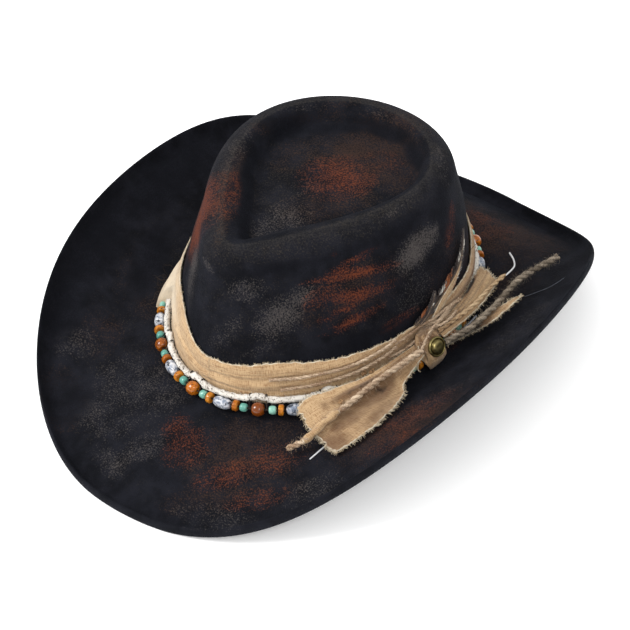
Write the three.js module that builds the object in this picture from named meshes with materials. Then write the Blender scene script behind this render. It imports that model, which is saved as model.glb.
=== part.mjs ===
// Felt hat with a teardrop crown and curled brim, dressed with a torn cloth band, beads, tails and feathers.
// Millimetres, +Z up, the front at -Y, the wearer's left at +X. The brim's front and back stand on Z = 0.
// Angles are degrees round the crown: 0 at the front, 90 at the wearer's left, 180 at the back.
import * as THREE from 'three';

// Felt wall and head opening
const feltWall = 2.5;
const headHalfWidth = 82.5;
const headHalfLength = 104.1;

// Brim
const frontReach = 91.8;
const backReach = 61.6;
const sideReach = 70.2;
const sideRise = 58.4;
const crownFootHeight = 25.7;
const lipHeight = 8;
const restStripWidth = 5;

// Crown
const crownFrontRise = 95.6;
const crownBackRise = 94.2;
const crestHalfWidth = 71;
const crestHalfLength = 78.8;
const crestSetBack = 5;
const crownTwist = -1.4;
const crownLean = -2.7;
const rimRadius = 14.6;
const wallBulge = 3;

// Teardrop dent in the crown's top
const dentDepth = 11;
const dentMarginSide = 9.6;
const dentMarginEnds = 14;
const dentSetBack = 9;
const dentFloorDome = 3;

// Cloth, cords and beads
const clothWall = 1.1;
const bandGap = 0.6;
const ovalBead = { length: 12.6, radius: 3.7 };
const woodBead = { length: 8.8, radius: 4.4 };
const stoneBead = { length: 4.8, radius: 2.6 };
const discBead = { length: 3.4, radius: 3.4 };
const beadRepeats = 14;
const beadStart = -21;
const threadRadius = 0.7;
const creamCordRadius = 1.6;
const bandStrandRadius = 1.1;
const juteRadius = 2.1;
const touch = 0.35;

// Button
const buttonRadius = 6.3;
const buttonRise = 3.2;
const buttonEdge = 1;

// Feathers
const featherWall = 1;
const featherLift = 0.6;

// Mesh density: stations round the hat, sides of a strand and of a cord, step along them
const stations = 36;
const strandSides = 6;
const cordSides = 8;
const cordStep = 6;

// Plan and rise of the brim's edge, as shares of its half width and side rise: waves once, twice and
// three times round, the plan's squareness and the power that keeps the front and back low
const planWaves = [-0.09, 0.076, -0.02];
const planPower = 0.94;
const planSweep = { twice: 0.045, once: 0.006 };
const riseWaves = [-0.22, 0.33, -0.06];
const risePower = 2.9;
const restHalfAngle = 10;
const brimDishPower = 1.8;
const brimSideSlope = 0.8;

// Front taper of the crest and the dent: share of the width lost and how fast it returns
const crestTaper = { share: 0.67, power: 1.75 };
const dentTaper = { share: 0.95, power: 1.75 };
const crestSideArch = 0.03;

// Steps of the dent's wall from crest to crease, as shares of the way in and of the depth
const dentWallRows = [
  { inward: 0.38, drop: 0.12 },
  { inward: 0.74, drop: 0.55 },
  { inward: 1, drop: 1 },
];
const dentFloorRows = [0.78, 0.42];
const rimRows = [60, 30];
const wallRows = [1, 0.74, 0.48, 0.22, 0.04];
const brimRows = [0.05, 0.3, 0.58, 0.82];

// Pinches in the crown's wall on both sides of its front point
const pinches = [
  { angle: 34, depth: 3, spread: 16 },
  { angle: -38, depth: 1.6, spread: 16 },
];

// Lip section, outward from the brim's edge and up from the underside, as shares of the lip's height
const lipRows = [
  { out: -1.05, up: 0.31 },
  { out: -0.66, up: 0.33 },
  { out: -0.36, up: 0.62 },
  { out: -0.16, up: 1 },
  { out: 0, up: 0.42 },
];

// Cloth band: the heights of its edges above the crown's foot at each angle, as shares of its height
const bandHeight = 26;
const bandRows = [
  { angle: -180, low: 0.25, high: 1.3 },
  { angle: -90, low: 0.3, high: 1.4 },
  { angle: -54, low: 0.36, high: 1.46 },
  { angle: -30, low: 0.36, high: 1.62 },
  { angle: 0, low: 0.25, high: 1.12 },
  { angle: 30, low: 0.22, high: 1.16 },
  { angle: 60, low: 0.22, high: 1.04 },
  { angle: 84, low: 0.42, high: 1 },
  { angle: 102, low: 0.28, high: 1.05 },
  { angle: 180, low: 0.25, high: 1.3 },
];

// Folds that run along the band: where each lies between the edges and how proud it stands
const bandFolds = [
  { at: 0, proud: 0 },
  { at: 0.3, proud: 0 },
  { at: 0.44, proud: 1.8 },
  { at: 0.6, proud: 0.6 },
  { at: 0.8, proud: 1.9 },
  { at: 1, proud: 0.2 },
];

// Knot that gathers the band and the tails: sections from its foot up
const knotAngle = 84;
const knotGather = 22;
const knotRows = [
  { up: 3.2, inner: 12.6, outer: 14.6, halfWidth: 6 },
  { up: 8, inner: 12.5, outer: 16, halfWidth: 8 },
  { up: 12, inner: 5, outer: 16, halfWidth: 8.5 },
  { up: 16, inner: 2.4, outer: 14.5, halfWidth: 8.5 },
  { up: 21, inner: 2.2, outer: 12, halfWidth: 8 },
  { up: 25, inner: 2.2, outer: 7, halfWidth: 6 },
];

// Tails: each row crosses the cloth at places given as angle, distance out from the crown and height
// over the brim, from the knot to the torn end
const frontTail = [
  [[80.2, 3.8, 17.2], [80, 9, 17.8], [79.8, 14, 15.4]],
  [[68, 2.8, 14.8], [69, 9.5, 15.4], [70.5, 20, 9]],
  [[59, 3.4, 13.6], [62, 13, 12.8], [68.4, 26, 4.4]],
  [[46, 4.6, 13], [51, 18.5, 9.4], [61.4, 35, 3.2]],
  [[40, 6, 12.8], [46, 22.5, 8.2], [54.8, 42.5, 3]],
  [[36, 12, 11], [41, 29.5, 6.2], [47, 49.5, 3]],
];
const wideTail = [
  [[88.7, 3.6, 17.8], [88.9, 8.4, 18.5], [88.9, 13.2, 16.6]],
  [[106, 4.4, 15.5], [104.5, 11, 16.4], [103, 17.5, 15]],
  [[117, 5.5, 15.5], [114, 13, 16.2], [112, 20.5, 15]],
  [[124.5, 8.5, 16], [121, 15.5, 16.2], [117, 22, 15]],
];
const lowTail = [
  [[88.7, 12.4, 11.8], [88.7, 15, 10.2]],
  [[100, 18.2, 10], [99, 23, 7.4]],
  [[106, 24, 9], [103.5, 29.5, 6.8]],
  [[113, 38.5, 8.6], [112.6, 39.5, 8]],
];

// Pieces that climb the crown beside the knot: angle, height above the crown's foot, distance off the
// crown and half width
const narrowTail = [
  { angle: 88.6, up: 22, off: 4.6, halfWidth: 2.6 },
  { angle: 96, up: 28, off: 3, halfWidth: 3.8 },
  { angle: 102, up: 32, off: 2.6, halfWidth: 4 },
  { angle: 110, up: 38, off: 2, halfWidth: 3.4 },
  { angle: 116, up: 46, off: 1.6, halfWidth: 0.8 },
];
const mainFeather = [
  { angle: 86, up: 31, off: 1.3, halfWidth: 3 },
  { angle: 94, up: 36, off: 1.1, halfWidth: 5.5 },
  { angle: 102, up: 42, off: 1, halfWidth: 6.5 },
  { angle: 109, up: 50, off: 1, halfWidth: 5 },
  { angle: 114, up: 58, off: 1, halfWidth: 3.6 },
  { angle: 118, up: 67, off: 1, halfWidth: 0.9 },
];
const smallFeather = [
  { angle: 84, up: 32, off: 3.4, halfWidth: 1.6 },
  { angle: 88, up: 38, off: 3.6, halfWidth: 3 },
  { angle: 91.5, up: 44, off: 3.6, halfWidth: 2.6 },
  { angle: 94, up: 49, off: 3.6, halfWidth: 0.7 },
];

// Cord routes, chosen by hand: angle, distance out from the crown, height over the brim
const frontJuteRoute = [
  [79.2, 13.6, 20.6], [71, 13.5, 19.6], [63, 13.5, 16.9], [51.5, 21.5, 13.4], [45, 27.5, 11.6],
  [39.5, 35.5, 8.4], [34, 38, 5.6],
];
const rearJuteRoute = [
  [88.8, 15.4, 14.4], [97, 21.5, 13.4], [107, 26.5, 12.4], [115, 31, 12.6], [121, 36.5, 12], [129, 57, 12],
];
const twistedStripRoute = [
  [88.8, 9.8, 21.4], [103, 15.5, 19.4], [112, 19.5, 19], [119, 26, 18],
];
const twistedStripRadius = 1.6;

// Strands over the band: angle, height above the crown's foot, distance off the crown
const bandStrandRoutes = {
  jute_strand_upper: [[26, 22, 4.6], [40, 22, 4.6], [56, 22.5, 4.6], [68, 24.5, 4.6], [75, 27, 4.6]],
  jute_strand_lower: [[30, 15.5, 4.6], [44, 16.5, 4.6], [58, 17.8, 4.6], [68, 20, 4.6], [74.5, 22.5, 4.6]],
};

// Worked out from the sizes above
const degree = Math.PI / 180;
const footHalfWidth = headHalfWidth + feltWall;
const footHalfLength = headHalfLength + feltWall;
const brimHalfLength = footHalfLength + (frontReach + backReach) / 2;
const brimMiddle = (backReach - frontReach) / 2;
const brimHalfWidth = footHalfWidth + sideReach;
const angles = Array.from({ length: stations }, (_, i) => (360 / stations) * i);

const point = (x, y, z) => new THREE.Vector3(x, y, z);
const mix = (a, b, share) => a + (b - a) * share;

// Three waves round the brim, 1 at the crown's sides
function waves(turn, [once, twice, thrice]) {
  const sum = 1 + once * Math.cos(turn) + twice * Math.cos(2 * turn) + thrice * Math.cos(3 * turn);
  return sum / (1 - twice);
}

// Outer oval of the crown's foot
function foot(angle) {
  const turn = angle * degree;
  return point(footHalfWidth * Math.sin(turn), -footHalfLength * Math.cos(turn), crownFootHeight);
}

// Share of the side rise that the edge has at an angle: none where the hat stands
function riseShare(angle) {
  const turn = angle * degree;
  const flat = Math.sin((restHalfAngle + 0.01) * degree) ** risePower;
  const lift = Math.max(0, Math.abs(Math.sin(turn)) ** risePower - flat) / (1 - flat);
  return lift * waves(turn, riseWaves);
}

// Brim's outer edge, at the height of its underside
function brimEdge(angle) {
  const turn = angle * degree;
  const side = Math.sin(turn);
  const x = Math.sign(side) * Math.abs(side) ** planPower * brimHalfWidth * waves(turn, planWaves);
  const sweep = (planSweep.twice + planSweep.once * Math.cos(turn)) * side * side;
  const y = brimMiddle + brimHalfLength * (sweep - Math.cos(turn));
  return point(x, y, sideRise * riseShare(angle));
}

// Way out over the brim in plan, from the crown's foot to the edge
function outward(angle) {
  return brimEdge(angle).sub(foot(angle)).setZ(0).normalize();
}

// A point of the lip: out from the edge and up from the underside, tilted with the curled side
function lipPoint(angle, out, up) {
  const at = brimEdge(angle).addScaledVector(outward(angle), out);
  return at.setZ(at.z + up + Math.min(0, out) * brimSideSlope * riseShare(angle));
}

const lipInner = lipRows[0].out * lipHeight;

// Top of the brim, from the crown's foot (0) to the lip's inner line (1)
function brimTop(angle, share) {
  const start = foot(angle);
  const end = lipPoint(angle, lipInner, feltWall);
  const at = start.clone().lerp(end, share);
  return at.setZ(mix(start.z, end.z, Math.abs(share) ** brimDishPower));
}

// Teardrop in plan, pointed at the front
function teardrop(angle, halfWidth, halfLength, taper) {
  const turn = angle * degree;
  const width = 1 - taper.share * ((1 + Math.cos(turn)) / 2) ** taper.power;
  return point(halfWidth * width * Math.sin(turn), -halfLength * Math.cos(turn), 0);
}

function seatOnCrown(at, setBack) {
  at.y += setBack;
  at.applyAxisAngle(point(0, 0, 1), crownTwist * degree);
  at.x += crownLean;
  return at;
}

function crestHeight(angle) {
  const turn = angle * degree;
  const rise = mix(crownFrontRise, crownBackRise, (1 - Math.cos(turn)) / 2);
  return crownFootHeight + rise * (1 + crestSideArch * Math.sin(turn) ** 2);
}

function crest(angle) {
  const at = seatOnCrown(teardrop(angle, crestHalfWidth, crestHalfLength, crestTaper), crestSetBack);
  return at.setZ(crestHeight(angle));
}

// Bottom of the dent's wall
function crease(angle) {
  const halfWidth = crestHalfWidth - dentMarginSide;
  const halfLength = crestHalfLength - dentMarginEnds;
  const at = seatOnCrown(teardrop(angle, halfWidth, halfLength, dentTaper), dentSetBack);
  const turn = angle * degree;
  const rise = mix(crownFrontRise, crownBackRise, (1 - Math.cos(turn)) / 2);
  return at.setZ(crownFootHeight + rise - dentDepth);
}

function crestNormal(angle) {
  const along = crest(angle + 2).sub(crest(angle - 2));
  return point(along.y, -along.x, 0).normalize();
}

// Round rim, from the crest (90) to the shoulder (0)
function rim(angle, roll) {
  const at = crest(angle).addScaledVector(crestNormal(angle), rimRadius * Math.cos(roll * degree));
  at.z -= rimRadius * (1 - Math.sin(roll * degree));
  return at;
}

function pinchDepth(angle, share) {
  const around = (centre) => ((angle - centre + 540) % 360) - 180;
  const fade = Math.sin(Math.PI * Math.min(1, share)) ** 2;
  return pinches.reduce((sum, pinch) => {
    const away = around(pinch.angle) / pinch.spread;
    return sum + pinch.depth * Math.exp(-away * away) * fade;
  }, 0);
}

// Crown's wall, from the foot (0) to the shoulder (1)
function crownWall(angle, share) {
  const at = foot(angle).lerp(rim(angle, 0), share);
  const out = point(at.x, at.y, 0).normalize();
  return at.addScaledVector(out, wallBulge * Math.sin(Math.PI * share) - pinchDepth(angle, share));
}

// Ways of placing what lies on the hat
function onCrown(angle, up, off) {
  const share = up / (rim(angle, 0).z - crownFootHeight);
  const along = crownWall(angle + 2, share).sub(crownWall(angle - 2, share));
  const out = point(along.y, -along.x, 0).normalize();
  return crownWall(angle, share).addScaledVector(out, off);
}

function onBrim(angle, out, up) {
  const start = foot(angle);
  const reach = lipPoint(angle, lipInner, 0).sub(start).setZ(0).length();
  const at = brimTop(angle, out / reach);
  return at.setZ(at.z + up);
}

// Closed surface through rows of points; a row of one point is a pole, and the last row may meet the first
function surface(rows, joined = false) {
  const positions = [];
  const starts = [];
  for (const row of rows) {
    starts.push(positions.length / 3);
    row.forEach((p) => positions.push(p.x, p.y, p.z));
  }
  const index = [];
  const last = joined ? rows.length : rows.length - 1;
  for (let i = 0; i < last; i += 1) {
    const next = (i + 1) % rows.length;
    const count = Math.max(rows[i].length, rows[next].length);
    for (let j = 0; j < count; j += 1) {
      const k = (j + 1) % count;
      const corner = (row, step) => starts[row] + (rows[row].length === 1 ? 0 : step);
      if (rows[next].length > 1) index.push(corner(i, j), corner(next, j), corner(next, k));
      if (rows[i].length > 1) index.push(corner(i, j), corner(next, k), corner(i, k));
    }
  }
  const geometry = new THREE.BufferGeometry();
  geometry.setAttribute('position', new THREE.Float32BufferAttribute(positions, 3));
  geometry.setIndex(facingOut(positions, index));
  return geometry;
}

// Turns the triangles round if they enclose a negative volume
function facingOut(positions, index) {
  const corner = (i) => point(...positions.slice(3 * index[i], 3 * index[i] + 3));
  let volume = 0;
  for (let i = 0; i < index.length; i += 3) {
    volume += corner(i).dot(corner(i + 1).cross(corner(i + 2)));
  }
  return volume < 0 ? index.reverse() : index;
}

function middle(row) {
  return row.reduce((sum, p) => sum.add(p), point(0, 0, 0)).divideScalar(row.length);
}

function capped(rows) {
  return surface([[middle(rows[0])], ...rows, [middle(rows.at(-1))]]);
}

// Normals of a grid of rows that run round the hat, facing up and out
function gridNormals(rows) {
  return rows.map((row, i) => row.map((_, j) => {
    const before = rows[Math.max(0, i - 1)][j];
    const after = rows[Math.min(rows.length - 1, i + 1)][j];
    const left = row[(j + row.length - 1) % row.length];
    const right = row[(j + 1) % row.length];
    const down = after.clone().sub(before);
    return down.cross(right.clone().sub(left)).normalize();
  }));
}

// Crown and brim, one wall of felt
function feltBody() {
  const ring = (make) => angles.map(make);
  const crownCentre = seatOnCrown(point(0, 0, 0), dentSetBack + crestHalfLength * 0.1);
  crownCentre.z = crownFootHeight + mix(crownFrontRise, crownBackRise, 0.5) - dentDepth + dentFloorDome;
  const floorRow = (share) => ring((angle) => {
    const at = crownCentre.clone().lerp(crease(angle), share);
    return at.setZ(mix(crownCentre.z, crease(angle).z, share * share));
  });
  const dentRow = ({ inward, drop }) => ring((angle) => {
    const at = crest(angle).lerp(crease(angle), inward);
    return at.setZ(mix(crest(angle).z, crease(angle).z, drop));
  });
  const top = [
    ...dentFloorRows.toReversed().map(floorRow),
    ...dentWallRows.toReversed().map(dentRow),
    ring(crest),
    ...rimRows.map((roll) => ring((angle) => rim(angle, roll))),
    ...wallRows.map((share) => ring((angle) => crownWall(angle, share))),
    ...brimRows.map((share) => ring((angle) => brimTop(angle, share))),
  ];
  const normals = gridNormals(top);
  const under = top.map((row, i) => row.map((p, j) => p.clone().addScaledVector(normals[i][j], -feltWall)));
  const lip = lipRows.map(({ out, up }) => ring((angle) => lipPoint(angle, out * lipHeight, up * lipHeight)));
  const strip = [-0.25, -0.25 - restStripWidth / lipHeight].map((out) => (
    ring((angle) => lipPoint(angle, out * lipHeight, 0))));
  const underCentre = crownCentre.clone().setZ(crownCentre.z - feltWall);
  return surface([[crownCentre], ...top, ...lip, ...strip, ...under.toReversed(), [underCentre]]);
}

// Values of a table's row at any angle
function rowAt(table, angle) {
  const turn = ((angle + 540) % 360) - 180;
  const next = Math.max(1, table.findIndex((row) => row.angle >= turn));
  const [a, b] = [table[next - 1], table[next]];
  const share = (turn - a.angle) / (b.angle - a.angle);
  const smooth = share * share * (3 - 2 * share);
  return { low: mix(a.low, b.low, smooth), high: mix(a.high, b.high, smooth) };
}

// How much the band's folds open out away from the knot
function openness(angle) {
  const away = ((angle - knotAngle + 540) % 360) - 180;
  return 1 - Math.exp(-((away / knotGather) ** 2));
}

function clothBand() {
  const rows = angles.map((angle) => {
    const { low, high } = rowAt(bandRows, angle);
    const height = (at) => bandHeight * mix(low, high, at);
    const outer = bandFolds.map(({ at, proud }, i) => {
      const swing = 1 + 0.35 * Math.sin((angle * 2 + i * 70) * degree);
      return onCrown(angle, height(at), bandGap + clothWall + proud * swing * openness(angle));
    });
    const inner = [1, 0.5, 0].map((at) => onCrown(angle, height(at), bandGap));
    return [...outer, ...inner];
  });
  return surface(rows, true);
}

// Round section across a ring that lies about the crown, its centre given by a place and a shift out
function ringSection(place, angle, radius, sides) {
  const centre = place(angle, 0);
  const out = place(angle, 1).sub(centre);
  return Array.from({ length: sides }, (_, i) => {
    const turn = (i / sides) * 2 * Math.PI;
    const at = centre.clone().addScaledVector(out, radius * Math.cos(turn));
    return at.setZ(at.z + radius * Math.sin(turn));
  });
}

// A place beside the crown's foot, straight out from its oval
function onFoot(angle, out, up) {
  const along = foot(angle + 0.5).sub(foot(angle - 0.5));
  const at = foot(angle).addScaledVector(point(along.y, -along.x, 0).normalize(), out);
  return at.setZ(at.z + up);
}

// Angles at even lengths along a ring about the crown's foot
function evenAngles(out) {
  const steps = 720;
  const lengths = [0];
  for (let i = 1; i <= steps; i += 1) {
    const a = onFoot((360 / steps) * (i - 1), out, 0);
    lengths.push(lengths.at(-1) + a.distanceTo(onFoot((360 / steps) * i, out, 0)));
  }
  const whole = lengths.at(-1);
  const angleAt = (length) => {
    const wanted = ((length % whole) + whole) % whole;
    const i = lengths.findIndex((value) => value > wanted);
    const share = (wanted - lengths[i - 1]) / (lengths[i] - lengths[i - 1]);
    return (360 / steps) * (i - 1 + share);
  };
  const lengthAt = (angle) => lengths[Math.round(((angle + 360) % 360) * (steps / 360))];
  return { whole, angleAt, lengthAt };
}

const beadOut = woodBead.radius + bandGap + clothWall + 1.1;
const beadUp = woodBead.radius + 1.5;

// One repeat of the string: each bead with its profile, as shares of its length and radius
const roundProfile = [[0.1, 0.66], [0.5, 1], [0.9, 0.66]];
const ovalProfile = [[0.08, 0.55], [0.34, 1], [0.66, 1], [0.92, 0.55]];
const barrelProfile = [[0.2, 1], [0.8, 1]];
const beadOrder = [
  { bead: ovalBead, profile: ovalProfile, spare: 0 },
  { bead: discBead, profile: [[0.04, 1], [0.96, 1]], spare: 0 },
  { bead: stoneBead, profile: barrelProfile, spare: 1 },
  { bead: woodBead, profile: roundProfile, spare: 1 },
  { bead: stoneBead, profile: barrelProfile, spare: 0 },
  { bead: discBead, profile: [[0.04, 1], [0.96, 1]], spare: 0 },
];

// Whole string of beads, fused on its thread round the crown's foot
function beadString() {
  const ring = evenAngles(beadOut);
  const repeat = ring.whole / beadRepeats;
  const beadLength = beadOrder.reduce((sum, { bead }) => sum + bead.length, 0);
  const gap = (repeat - beadLength) / (beadOrder.length + 2);
  const rows = [];
  const place = (angle, shift) => onFoot(angle, beadOut + shift, beadUp);
  const section = (length, radius) => rows.push(ringSection(place, ring.angleAt(length), radius, 10));
  let length = ring.lengthAt(beadStart) - ovalBead.length / 2;
  for (let i = 0; i < beadRepeats; i += 1) {
    for (const { bead, profile, spare } of beadOrder) {
      profile.forEach(([at, share]) => section(length + at * bead.length, share * bead.radius));
      length += bead.length;
      const wide = gap * (1 + spare);
      section(length + wide / 2, threadRadius);
      length += wide;
    }
  }
  return surface(rows, true);
}

// Fibrous cord above the beads, pinched where thread ties them
const creamOff = bandGap + clothWall + creamCordRadius + touch;
const creamReach = woodBead.radius + creamCordRadius + touch;
const creamUp = beadUp + Math.sqrt(creamReach ** 2 - (beadOut - creamOff) ** 2);

function creamCord() {
  const ring = evenAngles(creamOff);
  const place = (angle, shift) => onCrown(angle, creamUp, creamOff + shift);
  const lumps = beadRepeats * 4;
  const rows = Array.from({ length: lumps }, (_, i) => {
    const radius = creamCordRadius * (i % 2 ? 0.72 : 1);
    return ringSection(place, ring.angleAt((i / lumps) * ring.whole), radius, 6);
  });
  return surface(rows, true);
}

function knotWrap() {
  const rows = knotRows.map(({ up, inner, outer, halfWidth }) => {
    const centre = onFoot(knotAngle, (inner + outer) / 2, up);
    const out = onFoot(knotAngle, 1, 0).sub(onFoot(knotAngle, 0, 0));
    const along = point(-out.y, out.x, 0);
    return Array.from({ length: 10 }, (_, i) => {
      const turn = ((i + 0.5) / 10) * 2 * Math.PI;
      const squared = (value) => Math.sign(value) * Math.abs(value) ** 0.7;
      const at = centre.clone().addScaledVector(out, ((outer - inner) / 2) * squared(Math.cos(turn)));
      return at.addScaledVector(along, halfWidth * squared(Math.sin(turn)));
    });
  });
  return capped(rows);
}

// Sheet of cloth through rows of places over the brim
function tail(table) {
  const rows = table.map((places) => {
    const bottom = places.map((place) => onBrim(...place));
    const top = bottom.map((p) => p.clone().setZ(p.z + clothWall));
    return [...bottom, ...top.toReversed()];
  });
  return capped(rows);
}

// Thin blade that climbs the crown, ribbed by its own width
function blade(table, wall) {
  const rows = table.map(({ angle, up, off, halfWidth }, i) => {
    const before = table[Math.max(0, i - 1)];
    const after = table[Math.min(table.length - 1, i + 1)];
    const along = onCrown(after.angle, after.up, off).sub(onCrown(before.angle, before.up, off)).normalize();
    const centre = onCrown(angle, up, off + featherLift);
    const out = onCrown(angle, up, off + featherLift + 1).sub(centre);
    const across = along.clone().cross(out).normalize();
    const face = across.clone().cross(along).normalize();
    const corner = (side, height) => (
      centre.clone().addScaledVector(across, side * halfWidth).addScaledVector(face, -height));
    return [corner(-1, wall), corner(0, wall), corner(1, wall), corner(1, 0), corner(0, 0), corner(-1, 0)]
      .map((p) => p.addScaledVector(face, wall / 2));
  });
  return capped(rows);
}

// Round cord along a route
function cord(points, radius, sides) {
  const path = new THREE.CatmullRomCurve3(points);
  const section = new THREE.Shape();
  for (let i = 0; i < sides; i += 1) {
    const turn = (i / sides) * 2 * Math.PI;
    const [x, y] = [radius * Math.cos(turn), radius * Math.sin(turn)];
    if (i === 0) section.moveTo(x, y);
    else section.lineTo(x, y);
  }
  const steps = Math.ceil(path.getLength() / cordStep);
  return new THREE.ExtrudeGeometry(section, { steps, bevelEnabled: false, extrudePath: path });
}

// Domed button, its back on the knot
function button() {
  const profile = [
    [0, 0], [buttonRadius, 0], [buttonRadius, buttonEdge], [buttonRadius * 0.86, buttonEdge * 1.5],
    [buttonRadius * 0.8, buttonEdge], [buttonRadius * 0.55, buttonRise * 0.85], [buttonRadius * 0.2, buttonRise],
    [0, buttonRise],
  ];
  return new THREE.LatheGeometry(profile.map(([r, h]) => new THREE.Vector2(r, h)), 16);
}

const hat = new THREE.Group();

function add(name, geometry, color, roughness, metalness = 0) {
  const mesh = new THREE.Mesh(geometry, new THREE.MeshStandardMaterial({ color, roughness, metalness }));
  mesh.name = name;
  hat.add(mesh);
  return mesh;
}

const cloth = 0xc8a982;
const jute = 0xa58763;
add('felt_body', feltBody(), 0x17161c, 0.95);
add('cloth_band', clothBand(), cloth, 0.9);
add('cream_cord', creamCord(), 0xe4dccb, 0.9);
add('bead_string', beadString(), 0x9a4a10, 0.3);
add('knot_wrap', knotWrap(), 0xb89468, 0.9);
add('front_tail', tail(frontTail), cloth, 0.9);
add('wide_tail', tail(wideTail), cloth, 0.9);
add('low_tail', tail(lowTail), cloth, 0.9);
add('narrow_tail', blade(narrowTail, clothWall), cloth, 0.9);
add('main_feather', blade(mainFeather, featherWall), 0x3a2a20, 0.7);
add('small_feather', blade(smallFeather, featherWall), 0x2c2420, 0.7);
for (const [name, route] of Object.entries(bandStrandRoutes)) {
  add(name, cord(route.map((place) => onCrown(...place)), bandStrandRadius, strandSides), jute, 0.9);
}
add('front_jute', cord(frontJuteRoute.map((place) => onBrim(...place)), juteRadius, cordSides), jute, 0.9);
add('rear_jute', cord(rearJuteRoute.map((place) => onBrim(...place)), juteRadius, cordSides), jute, 0.9);
const stripRoute = twistedStripRoute.map((place) => onBrim(...place));
add('twisted_strip', cord(stripRoute, twistedStripRadius, cordSides), cloth, 0.9);

// The button sits on the knot's outer face, turned up and to the front
const buttonSeat = { up: 18, out: 14.3 };
const buttonFacing = new THREE.Vector3(0.88, -0.16, 0.42).normalize();
const concho = add('concho', button(), 0x7a6a34, 0.35, 1);
concho.quaternion.setFromUnitVectors(new THREE.Vector3(0, 1, 0), buttonFacing);
concho.position.copy(onFoot(knotAngle, buttonSeat.out, buttonSeat.up));

// The middle of the brim's length stands over the origin
hat.position.y = -brimMiddle;

export default hat;
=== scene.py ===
"""Looks of a felt hat: teardrop crown, curled brim, torn cloth band, beads, tails, cords and feathers.

The forms repeat the CAD source's formulas in millimetres and come out in metres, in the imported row's frame.
"""

import logging
from dataclasses import dataclass
from enum import Enum
from typing import Any, Sequence

import bpy
import numpy as np
from mathutils import Matrix, Vector


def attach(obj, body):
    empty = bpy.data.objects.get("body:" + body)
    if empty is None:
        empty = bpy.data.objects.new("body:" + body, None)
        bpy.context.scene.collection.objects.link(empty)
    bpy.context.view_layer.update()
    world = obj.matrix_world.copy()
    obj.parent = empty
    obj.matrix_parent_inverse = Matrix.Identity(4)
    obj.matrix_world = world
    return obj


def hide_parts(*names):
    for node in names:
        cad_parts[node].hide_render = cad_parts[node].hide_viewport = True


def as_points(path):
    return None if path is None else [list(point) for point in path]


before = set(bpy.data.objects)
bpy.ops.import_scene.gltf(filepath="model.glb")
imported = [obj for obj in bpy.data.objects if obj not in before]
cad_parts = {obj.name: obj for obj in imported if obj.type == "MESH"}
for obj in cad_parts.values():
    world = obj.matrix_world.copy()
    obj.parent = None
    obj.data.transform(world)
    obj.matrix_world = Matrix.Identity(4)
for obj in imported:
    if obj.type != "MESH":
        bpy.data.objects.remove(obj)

LOG = logging.getLogger("hat")
Array = np.ndarray
Piece = bpy.types.Object
Material = bpy.types.Material
Socket = bpy.types.NodeSocket
Triple = tuple[float, float, float]
Colour = Triple
Route = Sequence[tuple[float, ...]]
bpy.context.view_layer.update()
MM = 0.001
STUDIO_LIGHT = 1.45
BODY = "root"


class Slot(Enum):
    """The record's material slots."""

    FELT = "felt"
    CLOTH = "cloth"
    CREAM = "cream_cord"
    BEADS = "beads"
    JUTE = "jute"
    FEATHER = "feather"
    BRASS = "brass"


class Ground(Enum):
    """What a route's numbers are measured on."""

    BRIM = "angle, out from the crown and height over the brim"
    CROWN = "angle, height above the foot and distance off the crown"
    ROW = "the row's own millimetres"


# ---- numbers and vectors


def linear(red: int, green: int, blue: int) -> Colour:
    """Turn a screen colour of 0 to 255 into linear light of 0 to 1."""
    shares = (v / 255 for v in (red, green, blue))
    return tuple(s / 12.92 if s <= 0.04045 else ((s + 0.055) / 1.055) ** 2.4 for s in shares)


def paint(red: int, green: int, blue: int) -> Colour:
    """Give the surface colour that shows as a screen colour under the studio's bright light."""
    return tuple(v / STUDIO_LIGHT for v in linear(red, green, blue))


def vectors(x: Any, y: Any, z: Any) -> Array:
    """Stack three broadcast arrays as points."""
    return np.stack(np.broadcast_arrays(x, y, z), axis=-1).astype(float)


def arrays(*values: Any) -> Sequence[Array]:
    """Broadcast numbers and arrays to one shape."""
    return np.broadcast_arrays(*(np.asarray(v, float) for v in values))


def unit(v: Array) -> Array:
    """Scale vectors to length one."""
    return v / np.maximum(np.linalg.norm(v, axis=-1, keepdims=True), 1e-12)


def beside(along: Array) -> Array:
    """Give the level way square to a line's right."""
    return unit(vectors(along[..., 1], -along[..., 0], 0))


def mix(a: Any, b: Any, share: Any) -> Any:
    """Go from a to b by a share."""
    return a + (b - a) * share


def eased(share: Array) -> Array:
    """Ease a share of 0 to 1 in and out."""
    return share * share * (3 - 2 * share)


def turn_from(angle: Any, centre: float | Array = 0.0) -> Any:
    """Give the turn from one angle to another, -180 to 180 degrees."""
    return ((angle - centre + 540) % 360) - 180


def round_turn(sides: int) -> Array:
    """Space angles evenly round a full turn, in radians."""
    return np.linspace(0, 2 * np.pi, sides, endpoint=False)


def run_along(path: Array) -> Array:
    """Measure a path up to each of its points."""
    return np.concatenate([[0], np.cumsum(np.linalg.norm(np.diff(path, axis=0), axis=1))])


def spline(points: Any, at: Array | int) -> Array:
    """Evaluate a Catmull-Rom line through evenly counted points.

    Args:
        points: Control points, first axis along the line.
        at: Places on the line, 0 at the first point and 1 at the last, or a number of even places.

    Returns:
        The values at those places.
    """
    p = np.asarray(points, float)
    n = len(p) - 1
    at = np.linspace(0, 1, at) if isinstance(at, int) else at
    x = np.clip(np.asarray(at, float), 0, 1) * n
    i = np.minimum(x.astype(int), n - 1)
    t = (x - i).reshape(-1, *([1] * (p.ndim - 1)))
    before = np.concatenate([[2 * p[0] - p[1]], p, [2 * p[-1] - p[-2]]])
    a, b, c, d = (before[i + k] for k in range(4))
    return 0.5 * (2 * b + (c - a) * t + (2 * a - 5 * b + 4 * c - d) * t**2 + (3 * b - a - 3 * c + d) * t**3)


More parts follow.
